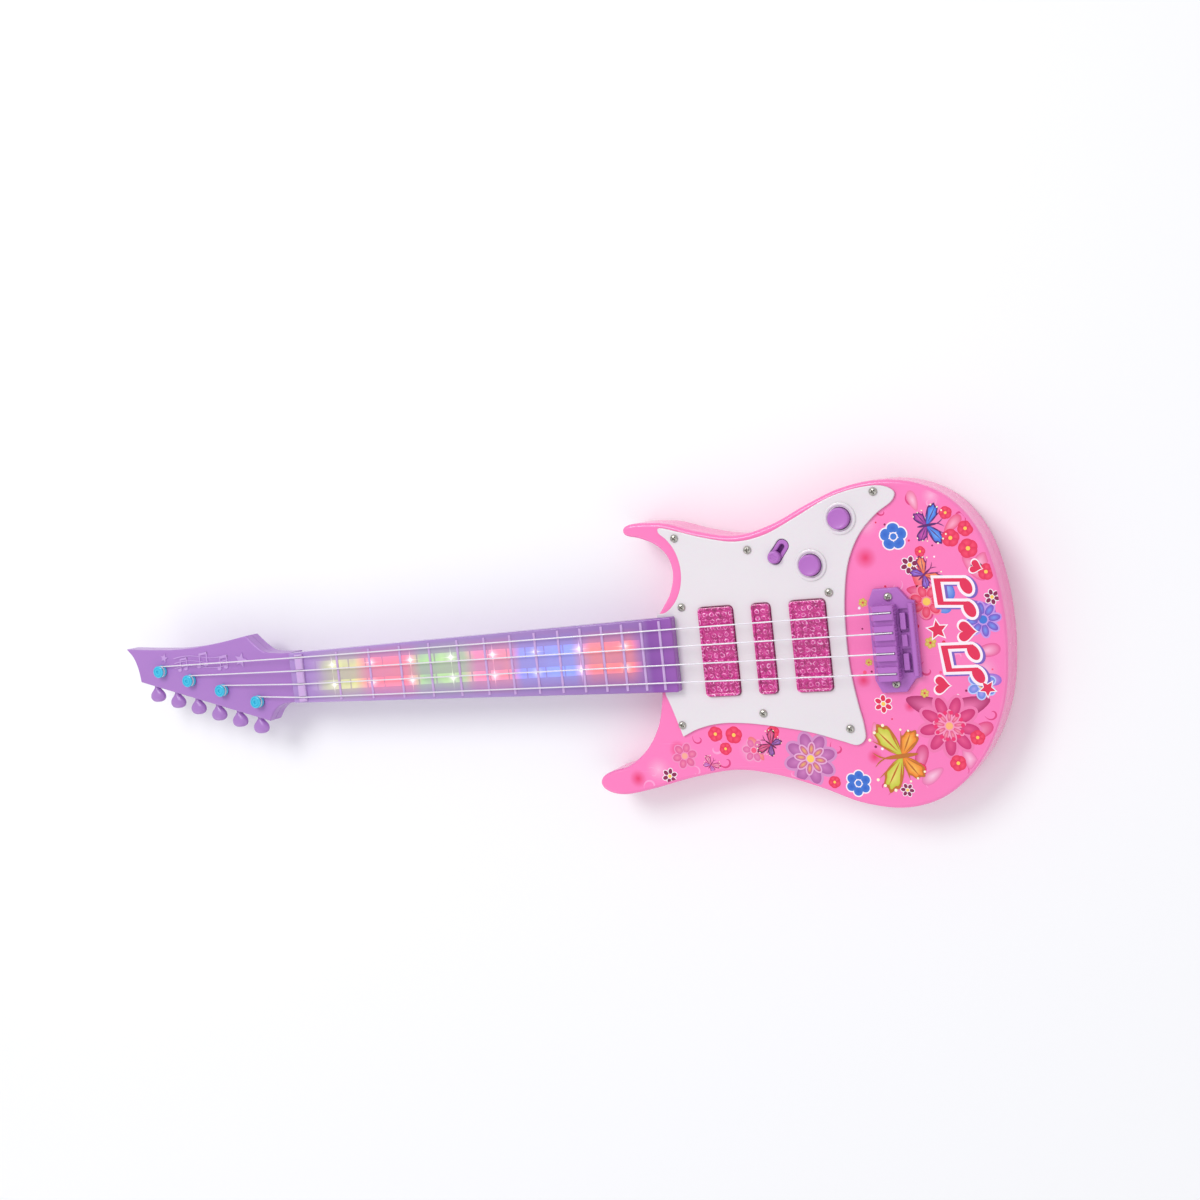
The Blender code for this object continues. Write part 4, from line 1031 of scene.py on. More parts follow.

# ------------------------------------------------------------------ push buttons and slide switch
# Two lilac buttons with a dished top, each on a rubber dome, and a
# slide switch whose round knob runs in a slot. All are held between the pickguard and the main board.
LILAC = plastic("lilac_polystyrene", colour(182, 108, 194), 0.34, coat=0.12, subsurface=0.06, Variation=0.04)
RUBBER = plastic("grey_silicone", colour(120, 122, 126), 0.6, subsurface=0.1, Variation=0.08)
DOME_FOOT, DOME_PRESSED = 21.95, 0.47
DOME = [
    (5.0, DOME_FOOT), (5.0, 22.35), (4.7, 22.55), (4.2, 23.2), (3.75, 23.85), (3.3, 24.2), (2.7, 24.3),
    (0.3, 24.3),
]
for name, (x, y) in BUTTONS.items():
    profile = [
        (2.9, 24.6), (2.9, 27.5), (7.5, 27.5), (7.5, 29.5), (6.15, 29.5), (6.15, 35.3), (6.05, 35.7),
        (5.75, 36.0), (5.35, 36.15), (4.95, 36.1), (4.5, 35.95), (3.0, 35.78), (1.2, 35.7), (0.2, 35.7),
    ]
    settle(loft(f"{name}_cap", [turned(x, y, profile, 56)]), name, "lilac_plastic", LILAC, name)
    dome = loft(f"{name}_spring_dome", [turned(x, y, DOME, 40)])
    settle(dome, "guitar", "grey_rubber", RUBBER, f"{name}_dome")
    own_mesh(dome)

switch_rings = [
    at_height(rounded_rectangle(*SWITCH_PLACE, 16.9, 8.9, 3, 10, SWITCH_TURN), z) for z in (21.95, 26.95)
] + [
    at_height(rounded_rectangle(*SWITCH_PLACE, 15.3 - w, 7.3 - w, 3.6 - w / 2, 10, SWITCH_TURN), z)
    for w, z in ((0, 26.95), (0, 31.0), (0.25, 31.3), (0.9, 31.45))
]
switch_base = loft("switch_plate", [switch_rings])
slot_rings = [
    at_height(rounded_rectangle(*SWITCH_PLACE, 10.2 + w, 3 + w, 1.49 + w / 2, 8, SWITCH_TURN), z)
    for w, z in ((0, 26.5), (0, 31.1), (0.8, 31.5), (0.8, 33))
]
combine(switch_base, "DIFFERENCE", [slot_rings])
settle(switch_base, "guitar", "lilac_plastic", LILAC, "mode_switch_base")

along = Vector((math.cos(SWITCH_TURN), math.sin(SWITCH_TURN)))
knob = Vector(SWITCH_PLACE) - along * 3.6
knob_profile = [
    (1.15, 26.9), (1.15, 31.8), (3.6, 31.8), (3.65, 32.2), (3.65, 34.2), (3.5, 34.8), (3.1, 35.2),
    (2.6, 35.3), (1.9, 35.15), (0.3, 35.0),
]
switch_knob = loft("switch_knob_cap", [turned(*knob, knob_profile, 40)])
grips = []
for offset in (-1.1, 0, 1.1):
    across = knob + along * offset
    grips.append(block(rounded_rectangle(*across, 0.5, 4.6 - abs(offset), 0.2, 3, SWITCH_TURN), 34.9, 36))
combine(switch_knob, "DIFFERENCE", grips)
settle(switch_knob, "mode_switch_knob", "lilac_plastic", LILAC, "mode_switch_knob")

# ------------------------------------------------------------------ bridge
# One lilac moulding: a plate with clipped corners, four ridged saddles that hold the string ends, and
# behind them a recess with three raised blocks and a ribbed end wall. Two screws hold it.
BRIDGE_OUTLINE = [
    (229.5, 22), (233, 29.5), (247, 29.5), (252.5, 22.5), (256, 21.5), (256, -21.5), (252.5, -22.5),
    (247, -29.5), (233, -29.5), (229.5, -22),
]
BRIDGE_SCREWS = [(241.5, 24.5), (241.5, -24.5)]
STRINGS_AT_BRIDGE = [16.3, 5.0, -6.5, -17.9]
PLATE_TOP = 33.3


def side_prism(profile, low, high):
    """Rings of a bar along Y whose side view is this list of (x, z)."""
    return [[Vector((x, y, z)) for x, z in profile] for y in (low, high)]


bridge_line = inset([Vector(p) for p in BRIDGE_OUTLINE], HAIR / 2)
bridge_piece = loft("bridge_moulding", [block(bridge_line, 30.3, PLATE_TOP, 0.8, 4)])
base = [(233.2, 31), (233.2, 38.3), (233.7, 38.8), (245.0, 38.8), (245.2, 38.4), (245.2, 31)]
combine(bridge_piece, "UNION", [side_prism(base, -21.5, 20.0)])
saddle = [
    (231.6, 32.5), (231.6, 36.9), (231.9, 37.7), (233.7, 40.9), (234.3, 41.2), (244.6, 41.2), (245.3, 40.6),
    (245.4, 32.5),
]
combine(bridge_piece, "UNION", [side_prism(saddle, y - 4.0, y + 4.0) for y in STRINGS_AT_BRIDGE])
wall_side = [(252.7, 31.5), (252.7, 35.7), (253.1, 36.15), (254.9, 36.15), (255.3, 35.7), (255.3, 31.5)]
combine(bridge_piece, "UNION", [side_prism(wall_side, -20.4, 20.4)])
combine(
    bridge_piece, "DIFFERENCE",
    [block(rounded_rectangle(238.1, y, 13.0, 1.5, 0.3, 2), 39.9, 42) for y in STRINGS_AT_BRIDGE],
)
combine(
    bridge_piece, "DIFFERENCE",
    [block(rounded_rectangle(249.2, low + 6.75, 5.2, 13.5, 0.5, 3), 31.8, 40) for low in (4.0, -18.5)],
)
combine(bridge_piece, "DIFFERENCE", holes(BRIDGE_SCREWS, SCREW_HOLE, 29, 34))
recess_blocks = [
    block(rounded_rectangle(249.0, y, 3.2, length, 0.5, 4), 31.7, z, 0.3, 3)
    for y, length, z in ((10.6, 9.4, 35.6), (-0.3, 6.8, 35.2), (-12.2, 9.4, 35.6))
]
combine(bridge_piece, "UNION", recess_blocks)
settle(bridge_piece, "guitar", "lilac_plastic", LILAC, "bridge")

# Fine ribs on the end wall and on each saddle's slope.
rib = loft("rib", [block(rounded_rectangle(0, 0, 1, 1, 0.3, 2), 0.0, 1.0, 0.2, 2)])
rib_places = [((255.3, -19 + 2 * i, 32.6), 0.0, (0.7, 0.55, 3.2)) for i in range(20)]
rib_places += [
    ((245.4, y + k * 2.2, 33.4), 0.0, (0.7, 0.9, 6.6)) for y in STRINGS_AT_BRIDGE for k in (-1, 0, 1)
]
settle(copies("bridge_ribs", rib, rib_places, LILAC), "guitar", "lilac_plastic", LILAC)

# ------------------------------------------------------------------ neck back and headstock
# A lilac channel with a rounded back, moulded in one with the headstock's back tray and with a tenon
# that the two body shells clamp. The headstock's front cover has a raised music motif.
HEAD_OUTLINE = [
    (-303, 27, "corner"), (-298, 21), (-295.5, 15), (-294, 8), (-293.5, 3, "corner"),
    (-188, -28.5, "corner"), (-182.5, -21.5), (-175.5, -17.6), (-164, -16.8, "corner"),
    (-164, 16.8, "corner"), (-177, 17.2), (-185.5, 18.8), (-192, 23.5), (-199, 30.2, "corner"),
    (-218, 27.4), (-238, 25.2), (-258, 24.3), (-280, 25.3),
]
HEAD_SEAM, HEAD_LOW, HEAD_TOP = 27.85, 20.0, 34.5
NECK_BACK_TOP, NECK_DEPTH, NECK_START, NECK_END = 31.8, 16.0, -163.7, 96.8
POSTS = [(-273, 10), (-249, 2.5), (-222.5, -5.5), (-194, -14.5)]
KEY_EDGES = [(x, 3 - (x + 293.5) * 31.5 / 105.5) for x in [-285 + 17 * i for i in range(6)]]


def neck_half(x):
    """Half the neck's width, which grows evenly from the nut to the body."""
    return 17 + (x + 152) / 264 * 5.6


def half_round(x, half, top, depth, steps=20):
    turns = [math.pi * k / steps for k in range(steps + 1)]
    return [Vector((x, half * math.cos(t), top - depth * math.sin(t))) for t in turns]


def channel(x, wall):
    """A U-shaped section: a half ellipse outside, and the same a wall's thickness further in."""
    half = neck_half(x) - HAIR / 2
    outer = half_round(x, half, NECK_BACK_TOP, NECK_DEPTH - HAIR / 2)
    inner = half_round(x, half - wall, NECK_BACK_TOP, NECK_DEPTH - wall)
    return outer + inner[::-1]


VIOLET = plastic("lilac_neck_plastic", colour(172, 122, 196), 0.3, coat=0.2, subsurface=0.06, Variation=0.05)
# The curve keeps clear of the sharp corners, so that the wall inside them stays simple.
head_corners = [Vector(anchor[:2]) for anchor in HEAD_OUTLINE if len(anchor) > 2]
head_line = [
    p for p in smooth_outline(HEAD_OUTLINE, 6) if not any(0.001 < (p - c).length < 5.5 for c in head_corners)
]
head_line = inset(head_line, HAIR / 2)
neck_piece = loft("neck_and_head_back", [tray(head_line, HEAD_SEAM - 0.15, HEAD_LOW, 2.2, 2.0, 1.6, 5)])
combine(neck_piece, "UNION", [[channel(x, 2.2) for x in (NECK_START, -60, 40, NECK_END)]])
combine(
    neck_piece, "UNION",
    [[half_round(x, neck_half(x) - 1, 31.4, 14.6) for x in (NECK_END - 4, NECK_END - 0.5)]],
)
combine(neck_piece, "UNION", [block(rounded_rectangle(111.8, 0, 36.2, 28, 0.6), 17.5, 26.8)])
volute = [
    half_round(x, half, top, depth)
    for x, half, top, depth in (
        (-176, 15, 27.2, 7.1), (-170, 15.4, 28.6, 9.2), (-164.5, 15.5, 30.2, 12.4), (-159.7, 15.8, 31.4, 14.6)
    )
]
combine(neck_piece, "UNION", [volute])
key_bores = [
    [
        [Vector((x + p.x, y, HEAD_SEAM + p.y)) for p in circle(0, 0, 2.2, 20)]
        for y in (edge_y - 5, edge_y + 4.5)
    ]
    for x, edge_y in KEY_EDGES
]
combine(neck_piece, "DIFFERENCE", key_bores)
settle(neck_piece, "guitar", "lilac_plastic", VIOLET, "neck_back")

head_front = loft(
    "headstock_front", [tray(head_line, HEAD_SEAM + 0.15, HEAD_TOP - HAIR / 2, 2.2, 2.0, 1.2, 5)]
)
combine(
    head_front, "DIFFERENCE",
    [[half_round(x, h, z, d) for x, h, z, d in ((-177.5, 15.5, 28.1, 4), (-160, 17.2, 32.2, 9))]],
)
combine(head_front, "DIFFERENCE", key_bores)
combine(head_front, "DIFFERENCE", holes(POSTS, 2.2, 30, 36))
settle(head_front, "guitar", "lilac_plastic", VIOLET, "headstock_cover")

# A paler copy of the cover's violet for the raised motif: a painted highlight on the raised shapes.
EMBOSSED_HIGHLIGHT = plastic("embossed_lilac_painted_highlight", colour(196, 154, 216), 0.26, coat=0.2, subsurface=0.06, Variation=0.04)

# The raised motif: a stave of three curved lines with notes and a star on it, in the cover's own plastic,
# coloured a paler violet as a painted highlight.
emblem_mesh = bmesh.new()
shapes_raised = 0


def raised(outline):
    """One raised shape on the headstock, as a closed prism with a slightly smaller top. Each is a hair
    higher than the one before, so that no two tops lie in one plane."""
    global shapes_raised
    shapes_raised += 1
    rise = 0.35 + 0.008 * shapes_raised
    centre = Vector([sum(p[i] for p in outline) / len(outline) for i in (0, 1)])
    rings = []
    for scale, z in ((1.0, HEAD_TOP - 0.3), (1.0, HEAD_TOP + rise - 0.15), (0.93, HEAD_TOP + rise)):
        rings.append(
            [emblem_mesh.verts.new((*(centre + (Vector(p[:2]) - centre) * scale), z)) for p in outline]
        )
    count = len(outline)
    for low, high in zip(rings, rings[1:]):
        for k in range(count):
            emblem_mesh.faces.new((low[k], low[(k + 1) % count], high[(k + 1) % count], high[k]))
    emblem_mesh.faces.new(rings[0][::-1])
    emblem_mesh.faces.new(rings[-1])


for line in range(3):
    upper, lower = [], []
    for k in range(19):
        x = -262 + k * 46 / 18
        y = 18.2 - line * 3.4 + 1.3 * math.sin((x + 262) / 46 * 2 * math.pi)
        upper.append((x, y + 0.28))
        lower.append((x, y - 0.28))
    raised(upper + lower[::-1])
for x, y, size in ((-255, 13.4, 4.6), (-238, 15.6, 5.2), (-221, 12.8, 4.8)):
    for hx, hy in ((-0.55, -0.75), (0.62, -0.58)):
        oval = [
            (hx + 0.36 * math.cos(t), hy + 0.27 * math.sin(t)) for t in [k * math.pi / 8 for k in range(16)]
        ]
        raised(turned_points(oval, x, y, size, 0))
        stem = [(hx + 0.18, hy), (hx + 0.36, hy), (hx + 0.36, hy + 1.7), (hx + 0.18, hy + 1.7)]
        raised(turned_points(stem, x, y, size, 0))
    raised(turned_points([(-0.37, 0.62), (0.98, 0.80), (0.98, 1.12), (-0.37, 0.94)], x, y, size, 0))
star_points = [
    (r * math.cos(k * math.pi / 5), r * math.sin(k * math.pi / 5)) for k, r in enumerate([1, 0.45] * 5)
]
raised(turned_points(star_points, -205, 14, 5.2, 0))
raised(turned_points(star_points, -270, 19, 3.4, 0))
settle(object_from("headstock_motif", emblem_mesh), "guitar", "lilac_plastic", EMBOSSED_HIGHLIGHT)

# ------------------------------------------------------------------ fretboard with its lights
# A violet see-through cover lies over the neck channel, with the frets and the nut moulded on. Eight
# LEDs under it send coloured light along two clear rods, which shows as soft glowing bands; that glow is
# painted light, painted into the cover's emission and colour.
BOARD_LOW, BOARD_TOP, BOARD_END = 32.1, 38.0, 112.0
NUT_LEFT, NUT_RIGHT = -158.0, -152.0
STRINGS_AT_NUT = [13.7, 4.9, -4.0, -12.8]
LED_FIRST, LED_STEP, ROD_Y = -130.0, 30.0, 6.5


def ramp_mask(tree, value):
    """The value held between 0 and 1."""
    node = tree.nodes.new("ShaderNodeClamp")
    tree.links.new(value, node.inputs["Value"])
    return node.outputs[0]


def glowing_cover():
    """Violet styrene with painted light: the glow of its lit part is painted into its emission, a colour for
    each stretch of the neck, in two rows of blocks, with a painted glint, a white point, over each LED. It
    reads Object coordinates in metres."""
    made = plastic("violet_cover", colour(150, 92, 190), 0.16, coat=0.5, subsurface=0.15, Variation=0.08)
    tree = made.node_tree
    new, link = tree.nodes.new, tree.links.new
    place, parts = new("ShaderNodeTexCoord"), new("ShaderNodeSeparateXYZ")
    link(place.outputs["Object"], parts.inputs[0])

    maths, ramp = shader_tools(tree)

    def mix(kind, share, a, b):
        node = new("ShaderNodeMix")
        node.data_type = "RGBA"
        node.blend_type = kind
        for socket, value in zip((node.inputs["Factor"], node.inputs[6], node.inputs[7]), (share, a, b)):
            if isinstance(value, (int, float, tuple)):
                socket.default_value = value
            else:
                link(value, socket)
        return node.outputs[2]

    # Millimetres along the neck and across it, and the share of the lit stretch.
    x = maths("MULTIPLY_ADD", parts.outputs["X"], 1000, -1000 * TO_FRAME.translation.x)
    y = maths("MULTIPLY_ADD", parts.outputs["Y"], 1000, -1000 * TO_FRAME.translation.y)
    share = maths("DIVIDE", maths("ADD", x, 150), 250)
    cloud = new("ShaderNodeTexNoise")
    cloud.inputs["Scale"].default_value = 75
    cloud.inputs["Detail"].default_value = 2
    link(place.outputs["Object"], cloud.inputs["Vector"])
    cloud_value = cloud.outputs["Fac"]
    wavy = maths("MULTIPLY_ADD", maths("SUBTRACT", cloud_value, 0.5), 0.03, share)
    tint = ramp(wavy, (
        (0.0, (150, 100, 190)), (0.05, (176, 206, 60)), (0.15, (190, 200, 50)), (0.19, (250, 74, 60)),
        (0.31, (255, 80, 56)), (0.35, (120, 196, 60)), (0.47, (150, 206, 70)), (0.51, (226, 100, 130)),
        (0.60, (250, 110, 96)), (0.64, (84, 120, 230)), (0.78, (80, 140, 250)), (0.83, (255, 104, 30)),
        (0.94, (255, 100, 14)), (0.98, (150, 80, 190)),
    ))
    # The two rows of painted glow: soft bands at the rods, brighter in blocks between the frets.
    from_rod = maths("ABSOLUTE", maths("SUBTRACT", maths("ABSOLUTE", maths("SUBTRACT", y, 0.6)), ROD_Y))
    across = maths("ABSOLUTE", y)
    band = ramp_mask(tree, maths("DIVIDE", maths("SUBTRACT", 18.0, across), 11.5))
    core = maths("LESS_THAN", from_rod, 3.1)
    piece = maths("GREATER_THAN", maths("PINGPONG", x, 6.5), 0.55)
    lit = maths(
        "MULTIPLY", ramp_mask(tree, maths("DIVIDE", maths("ADD", x, 150), 22)),
        ramp_mask(tree, maths("DIVIDE", maths("SUBTRACT", 95, x), 12)),
    )
    painted_block_glow = maths(
        "MULTIPLY", maths("MULTIPLY", core, piece), maths("MULTIPLY_ADD", cloud_value, 1.1, 0.02)
    )
    wide = maths("MULTIPLY", lit, maths("MULTIPLY", band, maths("MULTIPLY_ADD", cloud_value, 0.5, 0.5)))
    amount = maths(
        "MULTIPLY", lit, maths("ADD", maths("MULTIPLY", band, 0.16), maths("MULTIPLY", painted_block_glow, 1.15))
    )
    # Painted glints: a white point over each LED, each with a faint cross of rays.
    step = maths(
        "SUBTRACT", maths("WRAP", maths("SUBTRACT", x, LED_FIRST - LED_STEP / 2), LED_STEP, 0.0), LED_STEP / 2
    )
    far = maths("SQRT", maths("ADD", maths("POWER", step, 2), maths("POWER", from_rod, 2)))
    spot = maths("POWER", maths("MAXIMUM", maths("SUBTRACT", 1.0, maths("DIVIDE", far, 5.2)), 0.0), 2.0)
    cross = maths("MULTIPLY", maths("ABSOLUTE", step), from_rod)
    painted_rays = maths(
        "MULTIPLY", maths("LESS_THAN", cross, 0.7),
        maths("MAXIMUM", maths("SUBTRACT", 1.0, maths("DIVIDE", far, 9.0)), 0.0),
    )
    painted_led_glint = maths("MULTIPLY", lit, maths("MAXIMUM", spot, maths("MULTIPLY", painted_rays, 0.8)))
    glow_colour = mix("MIX", painted_led_glint, tint, colour(255, 252, 250))
    strength = maths("MAXIMUM", amount, maths("MULTIPLY", painted_led_glint, 1.8))
    # Painted light: the glow and the glints go into the cover's emission.
    scaled = new("ShaderNodeVectorMath")
    scaled.operation = "SCALE"
    link(glow_colour, scaled.inputs[0])
    link(strength, scaled.inputs["Scale"])
    shader = tree.nodes["Principled BSDF"]
    link(scaled.outputs[0], shader.inputs["Emission Color"])
    shader.inputs["Emission Strength"].default_value = 0.72
    # The cover's own colour: violet, deepest over the heel; it is paler along the lit stretch, which is
    # painted light from the glow.
    own = ramp(maths("DIVIDE", maths("ADD", x, 165), 280), (
        (0.0, (176, 140, 204)), (0.10, (174, 136, 202)), (0.5, (168, 136, 196)), (0.80, (156, 118, 184)),
        (0.925, (150, 104, 176)), (0.935, (140, 76, 168)), (1.0, (156, 88, 178)),
    ))
    # Painted glow light in the base colour: the glow's tint mixed into the violet along the soft bands.
    soft = mix("MIX", 0.38, tint, colour(222, 200, 214))
    painted_glow_tone = mix("MIX", maths("MULTIPLY", wide, 0.75), own, soft)
    link(painted_glow_tone, skin_of(made).inputs["Tone"])
    return made


COVER = glowing_cover()


def cover_line(back, radius):
    """The tapered outline of the cover, set back from its edge, with rounded corners."""
    low, high = NECK_START + HAIR / 2 + back, BOARD_END - HAIR / 2 - back
    corners = [
        Vector((x, side * (neck_half(x) - HAIR / 2 - back)))
        for x, side in ((low, -1), (high, -1), (high, 1), (low, 1))
    ]
    line = []
    for i, corner in enumerate(corners):
        start, end = (
            (other - corner).normalized() * radius for other in (corners[i - 1], corners[(i + 1) % 4])
        )
        for k in range(6):
            t = k / 5
            line.append((1 - t) ** 2 * (corner + start) + 2 * t * (1 - t) * corner + t**2 * (corner + end))
    return line


cover_rings = [
    at_height(cover_line(1.8, 0.3), BOARD_TOP - 1.6), at_height(cover_line(1.8, 0.3), BOARD_LOW),
    at_height(cover_line(0, 1.4), BOARD_LOW),
]
for k in range(7):
    angle = k / 6 * math.pi / 2
    back = 1.1 * (1 - math.cos(angle))
    cover_rings.append(
        at_height(cover_line(back, 1.4 - back), BOARD_TOP - HAIR / 2 - 1.1 * (1 - math.sin(angle)))
    )
settle(loft("fretboard_plate", [cover_rings]), "guitar", "violet_fretboard", COVER, "fretboard_cover")

# Frets and nut get a paler copy of the cover's violet: a painted highlight on the raised lines.
FRET_HIGHLIGHT = plastic("pale_lilac_painted_highlight", colour(204, 168, 220), 0.18, coat=0.5, subsurface=0.2, Variation=0.05)
fret_bar = loft("fret_bar", [[
    [
        Vector((x, y, z))
        for x, z in (
            (-0.5, -0.4), (0.5, -0.4), (0.5, 0.35), (0.36, 0.6), (0.14, 0.72), (-0.14, 0.72), (-0.36, 0.6),
            (-0.5, 0.35),
        )
    ]
    for y in (-1.0, -0.985, 0.985, 1.0)
]])
fret_places, fret_x, fret_gap = [], NUT_RIGHT, 26.5
for _ in range(14):
    fret_x += fret_gap
    fret_gap *= 0.94
    fret_places.append(((fret_x, 0, BOARD_TOP - 0.05), 0.0, (1.6, neck_half(fret_x) - 1.8, 0.95)))
settle(copies("frets", fret_bar, fret_places, FRET_HIGHLIGHT), "guitar", "violet_fretboard", FRET_HIGHLIGHT)

nut_side = [
    (-158, 37.4), (-158, 39.3), (-157.5, 39.9), (-156.6, 40.15), (-153.4, 40.15), (-152.5, 39.9),
    (-152, 39.3), (-152, 37.4),
]
nut = loft("nut", [side_prism(nut_side, -(neck_half(NUT_LEFT) - 1.25), neck_half(NUT_LEFT) - 1.25)])
combine(
    nut, "DIFFERENCE", [block(rounded_rectangle(-155, y, 8, 1.6, 0.2, 2), 39.3, 42) for y in STRINGS_AT_NUT]
)
settle(nut, "guitar", "violet_fretboard", FRET_HIGHLIGHT)

# ------------------------------------------------------------------ string posts and strings
# Four cyan posts with a waist stand on the headstock. Each holds a clear nylon string, wound round the
# waist and drawn over the nut to its groove in the bridge.
CYAN = plastic("cyan_polystyrene", colour(58, 190, 224), 0.22, coat=0.4, subsurface=0.05, Variation=0.05)
NYLON = plastic("clear_nylon", colour(226, 220, 228), 0.15, coat=0.3, subsurface=0.2, Variation=0.02)
post_profile = [
    (1.95, 31.1), (1.95, 34.85), (4.1, 34.85), (4.15, 35.0), (4.15, 35.6), (3.9, 35.85), (3.1, 36.4),
    (3.02, 36.9), (3.1, 37.7), (3.8, 38.2), (4.1, 38.5), (4.15, 38.9), (4.0, 39.3), (3.7, 39.55),
    (3.3, 39.65), (3.0, 39.6), (2.8, 39.3), (2.55, 39.3), (2.35, 39.6), (1.5, 39.65), (1.25, 39.55),
    (1.0, 38.9), (0.3, 38.85),
]
post = loft("post", [turned(0, 0, post_profile, 40)])
post_names = [f"string_post_{i}" for i in (1, 2, 3, 4)]
posts = copies("posts", post, [((x, y, 0), 0.0, (1, 1, 1)) for x, y in POSTS], CYAN)
settle(posts, "guitar", "cyan_plastic", CYAN, *post_names)

for i, (post_place, y_nut, y_bridge) in enumerate(zip(POSTS, STRINGS_AT_NUT, STRINGS_AT_BRIDGE), 1):
    centre = Vector((*post_place, 0))
    route = []
    for k in range(37):
        # One and three quarter turns up the waist, which leave the post at its far side.
        t = k / 36
        angle = math.pi / 2 + 0.3 + (1 - t) * 3.5 * math.pi
        route.append(
            centre + Vector((3.55 * math.cos(angle), 3.55 * math.sin(angle), 36.55 + 0.95 * (1 - t)))
        )
    nut_point, end = Vector((-155, y_nut, 40.1)), Vector((244.0, y_bridge, 40.6))
    leave = route[-1]
    route += [leave.lerp(nut_point, s) for s in (0.3, 0.6, 0.9)]
    route += [nut_point, nut_point.lerp(end, 0.02), nut_point.lerp(end, 0.5), end]
    curve = bpy.data.curves.new(f"nylon_string_{i}", "CURVE")
    curve.dimensions = "3D"
    curve.bevel_depth = 0.44
    curve.bevel_resolution = 3
    curve.use_fill_caps = True
    spline = curve.splines.new("POLY")
    spline.points.add(len(route) - 1)
    for point, position in zip(spline.points, route):
        point.co = (*position, 1.0)
    thread = new_object(f"nylon_string_{i}", curve)
    bpy.context.view_layer.update()
    thread_mesh = bpy.data.meshes.new_from_object(thread.evaluated_get(bpy.context.evaluated_depsgraph_get()))
    bpy.data.objects.remove(thread)
    string = new_object(f"nylon_string_{i}", thread_mesh)
    tidy_faces(string)
    settle(string, "guitar", "clear_nylon", NYLON, f"string_{i}")

# ------------------------------------------------------------------ tuning keys
# Six lilac keys with a waist, a bead-like handle and a smooth round shaft, clamped between the two
# halves of the headstock so that each one turns.
KEY_SECTIONS = [
    (-8.5, 1.4, 1.4), (-8.3, 1.8, 1.8), (-7.3, 1.8, 1.8), (-7.2, 2.9, 2.9), (-5.9, 2.9, 2.9),
    (-5.8, 1.8, 1.8), (1.6, 1.75, 1.75), (2.4, 1.9, 1.85), (3.2, 2.6, 2.2), (4.2, 3.5, 2.5), (5.4, 4.8, 2.8),
    (6.8, 5.8, 3.0), (8.0, 6.15, 3.1), (9.2, 6.2, 3.1), (10.4, 5.7, 2.9), (11.3, 4.9, 2.6), (12.0, 3.6, 2.0),
    (12.35, 2.4, 1.3),
]
for i, (x, edge_y) in enumerate(KEY_EDGES, 1):
    sections = [
        [
            Vector((x + 2 * p.x * wide, edge_y - out, HEAD_SEAM + 2 * p.y * thick))
            for p in circle(0, 0, 0.5, 36)
        ]
        for out, wide, thick in KEY_SECTIONS
    ]
    key = loft(f"key_{i}", [sections])
    settle(key, f"tuning_key_{i}", "lilac_plastic", VIOLET, f"tuning_key_{i}")

# ------------------------------------------------------------------ screws
# Nickel plated self-tapping screws with a domed head and a cross recess: ten on the front, six in wells
# in the back, and one in the battery door. Each is turned its own way.
STEEL = plastic(
    "plated_steel_screws", colour(190, 186, 178), 0.28, metallic=1.0, Variation=0.12, Smudge=0.2,
    Scratches=0.8,
)


def screw_template(length, up):
    """A screw whose head stands on z = 0; up is 1 where the head faces the front and -1 for the back."""
    profile = [
        (0.3, -length), (1.15, -length + 1.3), (1.15, 0.0), (2.35, 0.0), (2.42, 0.2), (2.3, 0.6),
        (1.95, 0.95), (1.4, 1.2), (0.7, 1.32), (0.2, 1.34),
    ]
    made = loft("screw_template", [turned(0, 0, [(r, up * z) for r, z in profile], 28)])
    for width, height in ((3.2, 0.62), (0.62, 3.2)):
        rings = [
            at_height(rounded_rectangle(0, 0, width * s, height * s, 0.2 * s, 2), up * z)
            for s, z in ((0.35, 0.15), (1.0, 1.1), (1.05, 2.0))
        ]
        combine(made, "DIFFERENCE", [rings])
    return made


front_places = [((x, y, 32.0), 0.0, (1, 1, 1)) for x, y in GUARD_SCREWS] + [
    ((x, y, 33.5), 0.0, (1, 1, 1)) for x, y in BRIDGE_SCREWS
]
front_names = [f"guard_screw_{i}" for i in range(1, 9)] + ["bridge_screw_1", "bridge_screw_2"]
front_screws = copies("front_screws", screw_template(7.0, 1), front_places, STEEL, 1.57, 5)
settle(front_screws, "guitar", "plated_steel", STEEL, *front_names)
back_screws = copies(
    "back_screws", screw_template(11, -1), [((x, y, 8.7), 0.0, (1, 1, 1)) for x, y in BODY_SCREWS], STEEL,
    1.57, 8,
)
settle(back_screws, "guitar", "plated_steel", STEEL, *[f"body_screw_{i}" for i in range(1, 7)])
door_screw = copies("door_screw", screw_template(7.5, -1), [((*DOOR_SCREW, 3.1), 0.4, (1, 1, 1))], STEEL)
settle(door_screw, "battery_door", "plated_steel", STEEL, "battery_door_screw")

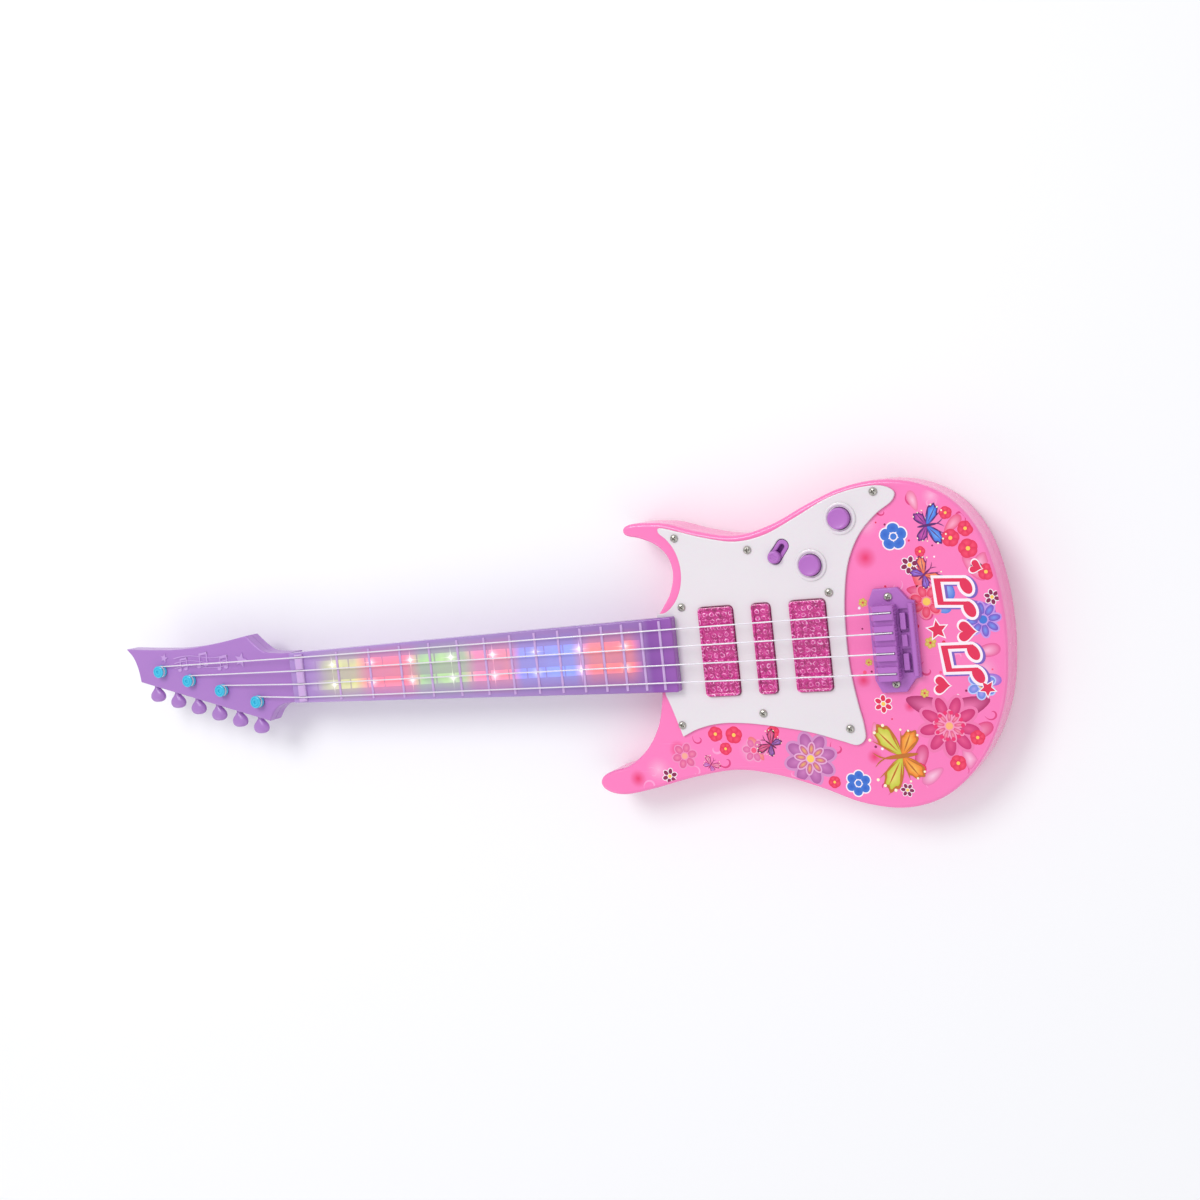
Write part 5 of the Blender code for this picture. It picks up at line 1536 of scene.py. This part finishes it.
# ------------------------------------------------------------------ battery door
# A pink moulded lid in a recess of the back shell, held by one screw in a small cup, with rows of fine
# ridges for the thumb.
door_piece = loft("door_lid", [[
    at_height(rounded_rectangle(door_middle, 0, door_length - 0.1 - w, 2 * door_half - 0.1 - w, 1.0), z)
    for w, z in ((0.0, 2.3), (0.0, 0.75), (0.3, 0.45), (0.8, 0.32))
]])
combine(door_piece, "UNION", [turned(*DOOR_SCREW, [(4.0, 1.0), (4.0, 4.9)])])
combine(door_piece, "DIFFERENCE", [turned(*DOOR_SCREW, [(2.9, -1), (2.9, 3.0)])])
combine(door_piece, "DIFFERENCE", holes([DOOR_SCREW], SCREW_HOLE, 2.5, 6, 32))
settle(door_piece, "battery_door", "pink_plastic", PINK, "battery_door")
ridge = loft("ridge", [block(rounded_rectangle(0, 0, 1.0, 1.0, 0.3, 3), 0.3, -0.25, -0.2, 2)])
ridge_places = [((137.5 + 2.2 * i, 0, 0.3), 0.0, (1.0, 30 - 1.6 * i, 1.0)) for i in range(8)]
settle(copies("door_ridges", ridge, ridge_places, PINK), "battery_door", "pink_plastic", PINK)

# ------------------------------------------------------------------ electronics and other inner parts
# Green circuit boards, three wrapped AA cells between sprung contacts, a paper-cone speaker and clear
# light rods. Their shapes stay as packed, and only their finishes are made here.


def node_finish(material, *names):
    for name in names:
        packed = nodes[name]
        packed.data.materials.clear()
        packed.data.materials.append(material)


def board_material():
    """Green solder mask with paler copper tracks."""
    made = plastic("circuit_board_green", colour(26, 110, 62), 0.3, coat=0.3, Variation=0.1)
    tree = made.node_tree
    new, link = tree.nodes.new, tree.links.new
    place, tracks = new("ShaderNodeTexCoord"), new("ShaderNodeTexBrick")
    link(place.outputs["Object"], tracks.inputs["Vector"])
    tracks.inputs["Scale"].default_value = 160
    tracks.inputs["Mortar Size"].default_value = 0.035
    tracks.inputs["Color1"].default_value = (0, 0, 0, 1)
    tracks.inputs["Color2"].default_value = (0.08, 0.08, 0.08, 1)
    tracks.inputs["Mortar"].default_value = (1, 1, 1, 1)
    ramp = shader_tools(tree)[1]
    tone = ramp(tracks.outputs["Color"], ((0.0, (22, 104, 58)), (1.0, (96, 168, 92))))
    link(tone, skin_of(made).inputs["Tone"])
    return made


def jacket_material():
    """A battery's printed sleeve: dark body and a copper-coloured band near the raised end."""
    made = plastic("battery_sleeve", colour(30, 34, 44), 0.18, coat=0.5, Variation=0.06)
    tree = made.node_tree
    new, link = tree.nodes.new, tree.links.new
    place, parts = new("ShaderNodeTexCoord"), new("ShaderNodeSeparateXYZ")
    link(place.outputs["Object"], parts.inputs[0])
    scale = new("ShaderNodeMapRange")
    low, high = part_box("battery_1")
    scale.inputs["From Min"].default_value = low.x
    scale.inputs["From Max"].default_value = high.x
    link(parts.outputs["X"], scale.inputs["Value"])
    stops = ((0.0, (186, 186, 190)), (0.02, (30, 34, 44)), (0.70, (196, 128, 60)), (0.96, (186, 186, 190)))
    tone = shader_tools(tree)[1](scale.outputs["Result"], stops, smooth="CONSTANT")
    link(tone, skin_of(made).inputs["Tone"])
    return made


node_finish(board_material(), "main_board", "neck_led_board")
node_finish(jacket_material(), "battery_1", "battery_2", "battery_3")
node_finish(STEEL, "battery_spring_contacts", "battery_flat_contacts")
node_finish(plastic("black_paper_cone", colour(28, 28, 30), 0.7, Variation=0.2, Ripple=0.5), "speaker")
node_finish(
    plastic("clear_rod", colour(226, 232, 240), 0.08, coat=0.8, subsurface=0.2), "light_guide_upper",
    "light_guide_lower",
)
